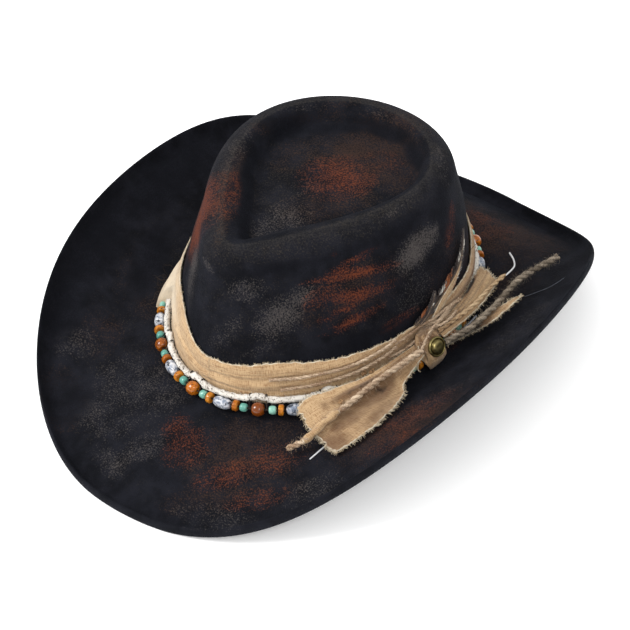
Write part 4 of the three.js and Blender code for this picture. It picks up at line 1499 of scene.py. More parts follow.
@dataclass
class FeltBody:
    """Crown and brim, one wall of felt; the marks are tables of row and weight, counted from the crest or the lip."""

    form: HatForm
    stations: int = 256
    lip_rows: int = 30
    lip: Route = (
        (-8.4, 2.48), (-6.9, 2.46), (-5.28, 2.7), (-3.9, 3.5), (-2.88, 5.0), (-2.15, 6.9), (-1.3, 7.95),
        (-0.5, 7.3), (-0.05, 5.4), (-0.02, 3.4), (-0.6, 1.3), (-2.0, 0.0), (-4.5, 0.0), (-7.0, 0.0),
    )  # fmt: skip

    def top_rows(self) -> tuple[Array, int]:
        """Lay the rows of the upper face from the crown's middle to the lip.

        Returns:
            The rows and the number of the crest's row.
        """
        f = self.form
        angle = np.arange(self.stations) * (360 / self.stations)
        full = np.ones_like(angle)
        rows: list[Array] = []
        starts = []
        for lay, first, last, count in (
            (f.floor, 0.06, 0.97, 14), (f.dent_wall, 1, 0.07, 11), (f.rim, 90, 0, 14), (f.crown_wall, 0.965, 0.02, 28),
            (f.brim_top, 0.02, 0.97, 32),
        ):  # fmt: skip
            starts.append(len(rows))
            rows += [lay(angle, full * s) for s in np.linspace(first, last, count)]
        _, crease, crest, shoulder, foot = starts
        grid = np.array(rows)
        for centre, reach, passes in ((crease, 2, 2), (foot, 3, 4), (shoulder, 3, 2)):
            first, last = centre - reach, centre + reach
            for _ in range(passes):
                beside_rows = grid[first - 1 : last - 1] + grid[first + 1 : last + 1]
                grid[first:last] = 0.5 * grid[first:last] + 0.25 * beside_rows
        return grid, crest

    def marks(self, tops: int, crest: int, count: int) -> dict[str, Route]:
        """Say where the felt is outside, where it is dusty (less so towards the dent's crease, a painted shade there)
        and where its crest and lip have a light line of wear and painted highlight.

        Args:
            tops: Rows of the upper face.
            crest: The crest's row.
            count: All rows.

        Returns:
            Tables of row and weight, by the attribute's name.
        """
        return {
            "outside": ((0, 1), (tops + 18, 1), (tops + 19, 0), (count, 0)),
            # dust, thinned on the floor's edge and the dent's wall as a painted shade in the crease
            "dusty": (
                (0, 0.6), (9, 0.5), (13, 0.2), (22, 0.1), (crest, 0.5), (crest + 6, 0.4), (crest + 12, 0.1),
                (crest + 24, 0.2), (tops - 32, 0.1), (tops - 22, 0.15), (tops - 3, 0.0), (tops + 2, -0.6),
                (count, -0.6),
            ),
            # light line along the crest and the lip: wear and a painted highlight
            "ridge": (
                (0, 0), (crest - 3, 0), (crest, 0.6), (crest + 2, 0.5), (crest + 7, 0.2), (crest + 12, 0),
                (tops - 2, 0),
                (tops + 4, 0.1), (tops + 7, 0), (count, 0),
            ),
        }  # fmt: skip

    def build(self, finish: FeltFinish) -> None:
        """Make the felt and store its paint, dust with its painted crease shade, and wear with its painted highlight.
        """
        f = self.form
        top, crest = self.top_rows()
        normals = grid_normals(top, False, True)
        if normals[0, :, 2].mean() < 0:
            normals = -normals
        angle = np.arange(self.stations) * (360 / self.stations)
        section = spline(self.lip, self.lip_rows)
        lip = np.array([f.lip_point(angle, np.full_like(angle, out), up) for out, up in section])
        rows = to_row(np.concatenate([top, lip, (top - normals * f.felt_wall)[::-1]]))
        centre = f.crown_centre()
        middles = to_row([centre, centre - [0, 0, f.felt_wall]])
        piece = capped("felt", rows, middles, finish.material())
        corners = np.concatenate([rows.reshape(-1, 3), middles])
        for layer in finish.paints:
            mask, streak = layer.lay(corners)
            store(piece, f"{layer.name}_mask", mask)
            store(piece, f"{layer.name}_streak", streak)
        for key, table in self.marks(len(top), crest, len(rows)).items():
            row = np.interp(np.arange(len(rows)), *np.array(table, float).T)
            store(piece, key, np.concatenate([np.repeat(row, self.stations), [row[0], row[-1]]]))
        finish_piece(piece, Slot.FELT, "felt_body")


# ---- cloth

RAW_THREAD = FibreFinish("raw_thread", paint(244, 232, 206), paint(196, 170, 132), 1200, 0.0001).material()


def frayed_line(line: Array, inner: Array, i: Array, k: Array, t: Array) -> tuple[Array, Array, Array]:
    """Find places on a torn edge.

    Args:
        line: The edge's points.
        inner: Points a little inside it.
        i: The point before each place.
        k: The point after it.
        t: Each place's share of the way between them.

    Returns:
        The places, their ways out of the cloth and along its edge.
    """
    share = t[:, None]
    out = unit(mix(line[i] - inner[i], line[k] - inner[k], share))
    return mix(line[i], line[k], share), out, unit(line[k] - line[i])


@dataclass
class ClothBand:
    """Torn cloth band with lengthwise folds and frayed edges: rows of angle, low and high edge as shares of height."""

    form: HatForm
    height: float = 26.0
    gap: float = 0.6
    wall: float = 1.1
    knot_angle: float = 84.0
    knot_gather: float = 22.0
    stations: int = 420
    columns: int = 44
    rows: Route = (
        (-180, 0.25, 1.3), (-90, 0.3, 1.4), (-54, 0.36, 1.46), (-30, 0.36, 1.62), (0, 0.25, 1.12),
        (30, 0.22, 1.16), (60, 0.22, 1.04), (84, 0.42, 1), (102, 0.28, 1.0), (124, 0.25, 0.85), (150, 0.25, 1.2),
        (180, 0.25, 1.3),
    )  # fmt: skip
    flare: Route = ((-82, 0), (-70, 0.72), (-61, 1), (-57.5, 1), (-54, 0))
    flare_out: float = 11.8
    flare_height: float = 0.57
    flare_foot: float = -0.02
    folds: Route = ((0, 0), (0.3, 0), (0.44, 1.8), (0.6, 0.6), (0.8, 1.9), (1, 0.2))
    pleats: Route = ((0.24, 0.035, 0.5), (0.52, 0.03, 0.7), (0.68, 0.028, 0.8), (0.9, 0.03, 0.35))
    # Soil and painted light round the band: below zero a painted highlight on the left where the light falls, above
    # zero stains and painted shade, most towards the knot and the back.
    soil: Route = (
        (-180, 0.3), (-95, 0.1), (-74, -0.6), (-52, -0.65), (-34, -0.3), (-10, 0.05), (40, 0.3), (84, 0.6), (130, 0.9),
        (180, 0.3),
    )  # fmt: skip
    hairs: int = 1300
    hair: Hair = Hair(0.0013, 0.00017, 0.45, 0.4)

    def edges(self, angle: Array) -> tuple[Array, Array]:
        """Find the heights of the band's two edges above the crown's foot, as shares of its height.

        Args:
            angle: Angles round the hat.

        Returns:
            The lower and the upper edge.
        """
        turn = turn_from(angle)
        table = np.array(self.rows, float)
        i = np.clip(np.searchsorted(table[:, 0], turn, side="left"), 1, len(table) - 1)
        a, b = table[i - 1], table[i]
        smooth = eased((turn - a[:, 0]) / (b[:, 0] - a[:, 0]))
        return mix(a[:, 1], b[:, 1], smooth), mix(a[:, 2], b[:, 2], smooth)

    def flare_share(self, angle: Array) -> Array:
        """How much the lower edge hangs out over the beads."""
        return eased(np.interp(turn_from(angle), *np.array(self.flare, float).T))

    def openness(self, angle: Array) -> Array:
        """How much the folds open out away from the knot."""
        return 1 - np.exp(-((turn_from(angle, self.knot_angle) / self.knot_gather) ** 2))

    def proud(self, angle: Array, at: Array) -> Array:
        """Find how far the cloth stands off, from its main folds and finer pleats.

        Args:
            angle: Angles round the hat.
            at: Places from the lower edge (0) to the upper (1).

        Returns:
            The distance in millimetres.
        """
        share = angle / 360
        where = np.clip(at + 0.03 * ripple(share, 11, 4, 2.0) * np.sin(np.pi * at), 0, 1)
        swing = 1 + 0.35 * np.sin(np.radians(angle * 2 + 70 * where * 5))
        total = np.interp(where, *np.array(self.folds).T) * swing * self.openness(angle)
        for k, (centre, width, tall) in enumerate(self.pleats):
            line = centre + 0.05 * ripple(share, 20 + k, 4, 3.0)
            power = 0.6 + 0.4 * ripple(share, 40 + k, 4, 4.0)
            total = total + tall * np.clip(power, 0, 1) * np.exp(-(((where - line) / width) ** 2))
        return total

    def surface(self) -> Array:
        """Lay the cloth's outer face in the row's metres."""
        angle = np.arange(self.stations) * (360 / self.stations)
        low, high = self.edges(angle)
        tear = [ripple(angle / 360, seed, 9, 14.0) for seed in (1, 2)]
        nick = [ripple(angle / 360, seed, 6, 70.0) for seed in (3, 4)]
        low = low + (0.5 * tear[0] + 0.3 * nick[0]) / self.height
        high = high + (0.45 * tear[1] + 0.28 * nick[1]) / self.height
        angles, at = np.meshgrid(angle, np.linspace(0, 1, self.columns), indexing="ij")
        hang = self.flare_share(angle)
        up = self.height * mix(mix(low, self.flare_foot, hang)[:, None], high[:, None], at)
        off = self.gap + self.wall + self.proud(angles, at)
        off = off + hang[:, None] * self.flare_out * np.clip(1 - (at / self.flare_height) ** 2.5, 0, 1)
        return to_row(self.form.on_crown(angles, up, off))

    def build(self, finish: ClothFinish) -> None:
        """Make the band and its frayed edges."""
        outer = self.surface()
        band = cloth_shell("cloth_strip", outer, self.wall * MM, True, finish.material())
        fringe = []
        for name, j, way in (("upper", -1, 1.0), ("lower", 0, -1.0)):
            r = np.random.default_rng(5 if j else 6)
            pick = r.random(self.hairs) * self.stations
            i = pick.astype(int)
            inner = outer[:, j - 3 if j else 3]
            places, out, along = frayed_line(outer[:, j], inner, i, (i + 1) % self.stations, pick % 1)
            ways = unit(out + along * r.normal(0, 0.5, (self.hairs, 1)))
            places = places - np.array([0, 0, way * 0.0002])
            fringe.append(self.hair.grow(f"fringe_{name}", places, ways, 9 + j, RAW_THREAD))
        fringe_piece = finish_piece(joined("band_fringe", fringe), Slot.CLOTH)
        angle = np.arange(self.stations) * (360 / self.stations)
        across = 0.5 + 0.5 * np.sin(np.pi * np.linspace(0, 1, self.columns)) ** 2
        soil = np.interp(turn_from(angle), *np.array(self.soil, float).T)[:, None] * across[None]
        store(band, "soil", np.tile(soil.reshape(-1), 2))
        finish_piece(band, Slot.CLOTH, "cloth_band")


@dataclass
class Tail:
    """One torn cloth end over the brim: rows of places across it, and stains and painted shade by place along and
    across, length, width and strength.
    """

    name: str
    node: str
    rows: Sequence[Route]
    form: HatForm
    flat: tuple[float, float]
    columns: int = 40
    seed: int = 1
    fold: float = 0.5
    stains_and_shade: Route = ()
    wall: float = 1.1
    stations: int = 90
    fold_width: float = 0.1
    wave: float = 0.25
    border: int = 6
    end_rows: int = 8
    threads: int = 260
    hair: Hair = Hair(0.0023, 0.00019, 0.3, 0.35)

    def tear(self, at: Array, slow_seed: int, quick_seed: int) -> Array:
        """Give a torn side's line in and out."""
        return 0.5 * ripple(at, self.seed + slow_seed, 8, 6.0) + 0.35 * ripple(at, self.seed + quick_seed, 5, 25.0)

    def surface(self) -> Array:
        """Lay the cloth's upper face in the form's millimetres, with torn sides and end, a fold and pleats.

        Returns:
            Rows of points from the knot to the end.
        """
        places = np.array([self.form.on_brim(*np.array(row, float).T) for row in self.rows])
        s, at = np.linspace(0, 1, self.stations), np.linspace(0, 1, self.columns)
        grid = spline(spline(places, s).transpose(1, 0, 2), at).transpose(1, 0, 2)
        step = np.linalg.norm(grid[:, -1] - grid[:, 0], axis=1)
        open_up = np.minimum(1, s * 3)
        n = self.border
        fade = np.linspace(1, 0, n)[None, :, None]
        for edge, inner, columns, seeds in ((0, 8, slice(0, n), (0, 5)), (-1, -9, slice(-1, -n - 1, -1), (9, 3))):
            inward = unit(grid[:, inner] - grid[:, edge])
            pull = (self.tear(s, *seeds) * open_up)[:, None, None]
            grid[:, columns] = grid[:, columns] + inward[:, None] * pull * fade * 0.8
        end = 0.9 * ripple(at, self.seed + 2, 6, 2.0) + 0.5 * ripple(at, self.seed + 4, 5, 9.0)
        ahead = unit(grid[-1] - grid[-self.end_rows])
        for k in range(1, self.end_rows + 1):
            grid[-k] = grid[-k] - ahead * (end * (self.end_rows + 1 - k) / self.end_rows)[:, None] * 0.9
        lift = self.fold * np.exp(-(((at - 0.5) / self.fold_width) ** 2))[None, :] * open_up[:, None]
        lift = lift + self.wave * np.sin(np.pi * at)[None, :] * ripple(s * 1.3, self.seed + 6, 3, 1.0)[:, None]
        pleats = 0.55 * (1 - s)[:, None] * np.sin(2 * np.pi * at * 4 + 0.6)[None, :]
        grid[..., 2] += self.wall + lift * np.minimum(1, step / 8)[:, None] + pleats
        return grid

    def build(self, finish: ClothFinish) -> None:
        """Make the tail and its frayed edge."""
        grid = to_row(self.surface())
        flip = grid_normals(grid, False, False)[..., 2].mean() < 0
        piece = cloth_shell(self.name, grid, self.wall * MM, False, finish.material(), flip)
        s, at = np.meshgrid(np.linspace(0, 1, self.stations), np.linspace(0, 1, self.columns), indexing="ij")
        soil = np.zeros_like(s)
        for along, across, long, wide, amount in self.stains_and_shade:
            soil = np.maximum(soil, amount * np.exp(-(((s - along) / long) ** 2) - ((at - across) / wide) ** 2))
        store(piece, "soil", np.tile(soil.reshape(-1), 2))
        r = np.random.default_rng(self.seed)
        places, ways = [], []
        left, right, end = (grid[:, 0], grid[:, 3], 1.0), (grid[:, -1], grid[:, -4], 1.0), (grid[-1], grid[-4], 1.6)
        for line, inner, weight in (left, right, end):
            run = run_along(line)
            count = int(self.threads * weight * run[-1] / 0.09)
            pick = np.interp(r.random(count), run / run[-1], np.arange(len(line)))
            i = np.minimum(pick.astype(int), len(line) - 2)
            place, out, way = frayed_line(line, inner, i, i + 1, pick - i)
            places.append(place - np.array([0, 0, 0.4 * self.wall * MM]) - out * 0.0002)
            ways.append(unit(out + way * r.normal(0, 0.35, (count, 1))))
        at, way = np.concatenate(places), np.concatenate(ways)
        grown = self.hair.grow(f"{self.name}_fringe", at, way, self.seed, RAW_THREAD)
        fringe = finish_piece(grown, Slot.CLOTH)
        finish_piece(piece, Slot.CLOTH, self.node)


FRONT_TAIL = (
    ((80.2, 3.8, 17.2), (80, 9, 17.8), (79.8, 14, 15.4)),
    ((68, 2.8, 14.8), (69, 9.5, 15.4), (70.5, 20, 9)),
    ((59, 3.4, 13.6), (62, 13, 12.8), (68.4, 26, 4.4)),
    ((46, 4.6, 13), (51, 18.5, 9.4), (61.4, 35, 3.2)),
    ((40, 6, 12.8), (46, 22.5, 8.2), (54.8, 42.5, 3)),
    ((36, 12, 11), (41, 29.5, 6.2), (47, 49.5, 3)),
)
WIDE_TAIL = (
    ((88.7, 3.6, 17.8), (88.9, 8.4, 18.5), (88.9, 13.2, 16.6)),
    ((106, 4.4, 15.5), (104.5, 11, 16.4), (103, 17.5, 15)),
    ((117, 5.5, 15.5), (114, 13, 16.2), (112, 20.5, 15)),
    ((124.5, 8.5, 16), (121, 15.5, 16.2), (117, 22, 15)),
)
LOW_TAIL = (
    ((88.7, 12.4, 11.8), (88.7, 15, 10.2)),
    ((100, 18.2, 10), (99, 23, 7.4)),
    ((106, 24, 9), (103.5, 29.5, 6.8)),
    ((113, 38.5, 8.6), (112.6, 39.5, 8)),
)
# Front tail: brown stains and painted shade in the fold beside the cord.
FRONT_STAINS_AND_SHADE = (
    (0.1, 0.5, 0.2, 0.6, 0.8), (0.44, 0.3, 0.2, 0.13, 1.4), (0.72, 0.3, 0.08, 0.12, 0.7), (0.42, 0.64, 0.24, 0.22, 1.3),
    (0.68, 0.68, 0.22, 0.2, 1.0), (0.84, 0.7, 0.08, 0.08, 1.4), (0.95, 0.85, 0.12, 0.25, 1.05),
    (0.6, 0.9, 0.3, 0.14, 0.75),
)  # fmt: skip
# Wide tail: stains, and a painted shadow along the edge by the slit.
WIDE_STAINS_AND_SHADE = (
    (0.1, 0.5, 0.25, 0.6, 0.6), (0.6, 0.05, 0.18, 0.08, 2.8), (0.4, 0.75, 0.4, 0.15, 0.4), (0.75, 0.85, 0.2, 0.05, 1.0),
)  # fmt: skip
# Low tail: painted shade over most of it, darkest near the knot, and a stain.
LOW_STAINS_AND_SHADE = ((0.1, 0.5, 0.5, 1.2, 2.4), (0.5, 0.3, 0.3, 0.3, 0.8))


@dataclass
class ClimbingBlade:
    """A thin blade that climbs the crown beside the knot: rows of angle, height, distance off and half width."""

    rows: Route
    form: HatForm
    lift: float = 0.6

    def frames(self, count: int) -> tuple[Array, Array, Array, Array, Array]:
        """Follow the blade.

        Args:
            count: Number of stations.

        Returns:
            Its centres, its ways along, across and out, and its half widths, in millimetres.
        """
        angle, up, off, half = spline(self.rows, count).T
        centre = self.form.on_crown(angle, up, off + self.lift)
        out = self.form.on_crown(angle, up, off + self.lift + 1) - centre
        along = unit(np.gradient(centre, axis=0))
        across = unit(np.cross(along, out))
        return centre, along, across, unit(np.cross(across, along)), np.maximum(half, 0.2)


@dataclass
class NarrowTail:
    """Pointed cloth end that climbs the crown beside the knot."""

    blade: ClimbingBlade
    flat: tuple[float, float] = (0.012, 0.062)
    wall: float = 0.0009

    def build(self, finish: ClothFinish) -> None:
        """Make the tail."""
        centre, _, across, face, half = self.blade.frames(60)
        at = np.linspace(-1, 1, 18)
        fold = 0.5 * np.cos(at * 2.2 + 0.4)
        grid = centre[:, None] + across[:, None] * (half[:, None] * at)[..., None]
        grid = grid + face[:, None] * (0.55 + fold[None, :] * np.minimum(1, half / 3)[:, None])[..., None]
        piece = cloth_shell("cloth_point", to_row(grid), self.wall, False, finish.material(), flip=True)
        finish_piece(piece, Slot.CLOTH, "narrow_tail")


# ---- cords

JUTE = FibreFinish("jute_fibre", paint(244, 220, 190), paint(140, 106, 78), 1500, 0.0003, ply=0.35).material()
GREY_JUTE = FibreFinish("grey_jute", paint(206, 190, 168), paint(84, 72, 60), 1500, 0.0004, ply=0.4).material()
DARK_HAIR = FibreFinish("dark_hair", paint(74, 58, 46), paint(30, 24, 20), 900, 0.00005).material()
CLOTH_THREAD = FibreFinish("rolled_cloth", paint(232, 204, 164), paint(164, 128, 92), 900, 0.0003, ply=0.15).material()
KNOT_THREAD = FibreFinish("knot_thread", paint(196, 156, 112), paint(104, 74, 50), 900, 0.0001).material()
GREY_THREAD = FibreFinish("grey_thread", paint(150, 156, 168), paint(82, 84, 92), 900, 0.0001).material()
ROLLED = ClothFinish("rolled_cotton", stained=0.5).material()


def follow(route: Route, ground: Ground, form: HatForm, count: int) -> Array:
    """Follow a route as a smooth line of evenly spaced points.

    Args:
        route: The route's marks.
        ground: What they are measured on.
        form: The hat's form.
        count: Number of points.

    Returns:
        The points in the row's metres.
    """
    marks = np.array(route, float)
    if ground is Ground.ROW:
        marks = marks * MM
    else:
        marks = to_row((form.on_brim if ground is Ground.BRIM else form.on_crown)(*marks.T))
    rough = spline(marks, 400)
    along = run_along(rough)
    return np.stack([np.interp(np.linspace(0, along[-1], count), along, rough[:, k]) for k in range(3)], 1)


@dataclass
class LaidCord:
    """Twisted cord over the hat: its route and radius in millimetres, how it is laid, and its hairs."""

    name: str
    node: str
    route: Route
    radius: float
    form: HatForm
    lay: float = 8.0
    ground: Ground = Ground.BRIM
    points: int = 60
    strands: int = 2
    strand_share: float = 0.55
    least_root: float = 1.0

    def build(self, material: Material, slot: Slot = Slot.JUTE) -> tuple[Piece, Array]:
        """Lay the strands.

        Args:
            material: Their finish.
            slot: The record's material slot.

        Returns:
            The piece and its centre line.
        """
        path = follow(self.route, self.ground, self.form, self.points)
        strand = self.radius * self.strand_share
        piece = GROWTH.cord(self.name, path, self.strands, (self.radius - strand, strand, self.lay), material)
        return finish_piece(piece, slot, *((self.node,) if self.node else ())), path

    def hairy(self, path: Array, count: int, length: float, seed: int, material: Material) -> Piece:
        """Grow fine hairs from the cord.

        Args:
            path: The cord's centre line in metres.
            count: How many hairs.
            length: Their length in metres.
            seed: Fixed seed.
            material: Their finish.

        Returns:
            The hairs as one piece.
        """
        r = np.random.default_rng(seed)
        pick = r.random(count) * (len(path) - 1)
        i, t = pick.astype(int), (pick % 1)[:, None]
        along = unit(path[i + 1] - path[i])
        out = unit(np.cross(along, r.normal(size=(count, 3))))
        ways = unit(out + along * r.normal(0.4, 0.8, (count, 1)))
        places = mix(path[i], path[i + 1], t) + out * max(self.radius, self.least_root) * MM * 0.8
        hairs = Hair(length, 0.00007, 0.5, 0.7).grow(f"{self.name}_hairs", places, ways, seed, material)
        return finish_piece(hairs, Slot.JUTE)


@dataclass
class CordWork:
    """Every jute cord, twisted strip and thread that runs with them."""

    form: HatForm
    front: Route = (
        (79.2, 13.6, 20.6), (71, 13.5, 19.6), (63, 13.5, 16.9), (51.5, 21.5, 13.4), (45, 27.5, 11.6),
        (39.5, 35.5, 8.4), (34, 38, 5.6),
    )  # fmt: skip
    rear: Route = (
        (88.8, 15.4, 14.4), (97, 21.5, 13.4), (107, 26.5, 12.4), (115, 31, 12.6), (121, 36.5, 12), (129, 57, 12),
    )  # fmt: skip
    strip: Route = ((88.8, 9.8, 21.4), (103, 15.5, 19.4), (112, 19.5, 19), (119, 26, 18))
    grey: Route = ((100.4, 12, 41), (102.2, 20, 41.6), (102.4, 28, 42), (102, 35, 41.6), (100.8, 42, 40.6))
    upper: Route = ((26, 22, 4.6), (40, 22, 4.6), (56, 22.5, 4.6), (68, 24.5, 4.6), (75, 27, 4.6))
    lower: Route = ((30, 15.5, 4.6), (44, 16.5, 4.6), (58, 17.8, 4.6), (68, 20, 4.6), (74.5, 22.5, 4.6))
    knot_strands: Sequence[Route] = (
        (
            (72.4, -26.6, 46.2), (76, -18.4, 46.6), (80.2, -10.3, 48), (83.2, -1.8, 49.8), (85.6, 7.6, 51.4),
            (88.8, 15.2, 52.6), (89, 27.4, 51.6), (87, 43.6, 46.8),
        ),
        (
            (72.9, -23.9, 40.2), (76.5, -14.5, 40.6), (79.8, -5.4, 42), (82.6, 3.2, 44.6), (86.6, 10, 49.6),
            (91.8, 15.4, 52), (90.6, 26, 51.8), (89, 36, 49.6), (88.8, 43, 47),
        ),
        (
            (79.3, -20.2, 42.1), (82.7, -12.5, 42.8), (85.2, -4.8, 44.2), (88.4, 3.4, 47.4), (91.6, 9.6, 50.8),
            (95, 14.4, 51.2), (95.4, 23, 50.4), (93, 32, 48.4),
        ),
        (
            (96.6, -9.6, 48.2), (94.9, -3, 49.7), (93.3, 4, 51.3), (92.5, 12.3, 52.1), (92.2, 21.4, 51.9),
            (89.5, 32, 49.4),
        ),
    )  # fmt: skip
    rolled_part: tuple[int, int] = (62, 90)
    rolled_radius: float = 2.35

    def build(self) -> None:
        """Lay the free cords first, then the strands on the band and over the knot."""
        roll = self.rolled_end()
        for name, route, lay, seed, material, going in (
            ("front", self.front, 9.0, 3, JUTE, [roll]), ("rear", self.rear, 10.0, 4, GREY_JUTE, []),
        ):  # fmt: skip
            cord = LaidCord(f"{name}_cord", f"{name}_jute", route, 2.1, self.form, lay)
            piece, path = cord.build(material)
            self.declare(piece, path, [cord.hairy(path, 560, 0.0028, seed, material), *going])
        strip = LaidCord("strip_cord", "twisted_strip", self.strip, 1.6, self.form, 11.0)
        piece, path = strip.build(CLOTH_THREAD, Slot.CLOTH)
        line = tube("grey_thread", follow(self.grey, Ground.ROW, self.form, 40), 0.00055, 8, GREY_THREAD)
        self.declare(piece, path, [finish_piece(line, Slot.CLOTH)])
        for name, route in (("upper", self.upper), ("lower", self.lower)):
            cord = LaidCord(f"band_strand_{name}", f"jute_strand_{name}", route, 1.1, self.form, 6.0, Ground.CROWN)
            cord.hairy(cord.build(JUTE)[1], 200, 0.0024, 12, JUTE)
        for number, route in enumerate(self.knot_strands):
            cord = LaidCord(f"knot_strand_{number}", "", route, 0.95, self.form, 5.5, Ground.ROW, 90)
            cord.hairy(cord.build(JUTE)[1], 220, 0.0026, 20 + number, JUTE)

    def rolled_end(self) -> Piece:
        """Roll cloth round the lower part of the front cord.

        Returns:
            The roll.
        """
        sides = 26
        path = follow(self.front, Ground.BRIM, self.form, 100)[slice(*self.rolled_part)]
        at = np.linspace(0, 1, len(path))
        swell = np.minimum(1, 0.72 + 2.2 * at * (1 - at))
        radius = self.rolled_radius * swell * MM * (1 + 0.05 * ripple(at, 61, 4, 3.0))
        turn = round_turn(sides)[None]
        spin = 1 + 0.13 * np.sin(2 * turn - 17 * at[:, None]) + 0.03 * np.sin(7 * turn + 9 * at[:, None])
        rings = path[:, None] + (rings_along(path, radius, sides) - path[:, None]) * spin[..., None]
        uv = np.stack(np.broadcast_arrays(at[:, None] * 0.03, turn * 0.0027), -1).reshape(-1, 2)
        piece = capped("rolled_end", rings, [path[0], path[-1]], ROLLED, np.concatenate([uv, [[0, 0], [0.03, 0]]]))
        ends = np.repeat(np.exp(-at / 0.03) + np.exp(-(1 - at) / 0.03), sides)
        store(piece, "edge", np.concatenate([ends, [1, 1]]))
        return finish_piece(piece, Slot.CLOTH)

    def declare(self, piece: Piece, path: Array, going: list[Piece]) -> None:
        """Log a free cord's measured length.

        Args:
            piece: The cord.
            path: Its centre line in metres.
            going: The pieces that go with it; not used.
        """
        length = float(run_along(path)[-1])
        tuple(path[0])
        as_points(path)  # fmt: skip
        LOG.info("%s: free cord of %.0f mm", piece.name, length / MM)


# ---- beads and cream cord


@dataclass(frozen=True)
class Bead:
    """One kind of bead: its length and radius in millimetres, the power of its profile and its spare gap."""

    name: str
    length: float
    radius: float
    power: float
    spare: int


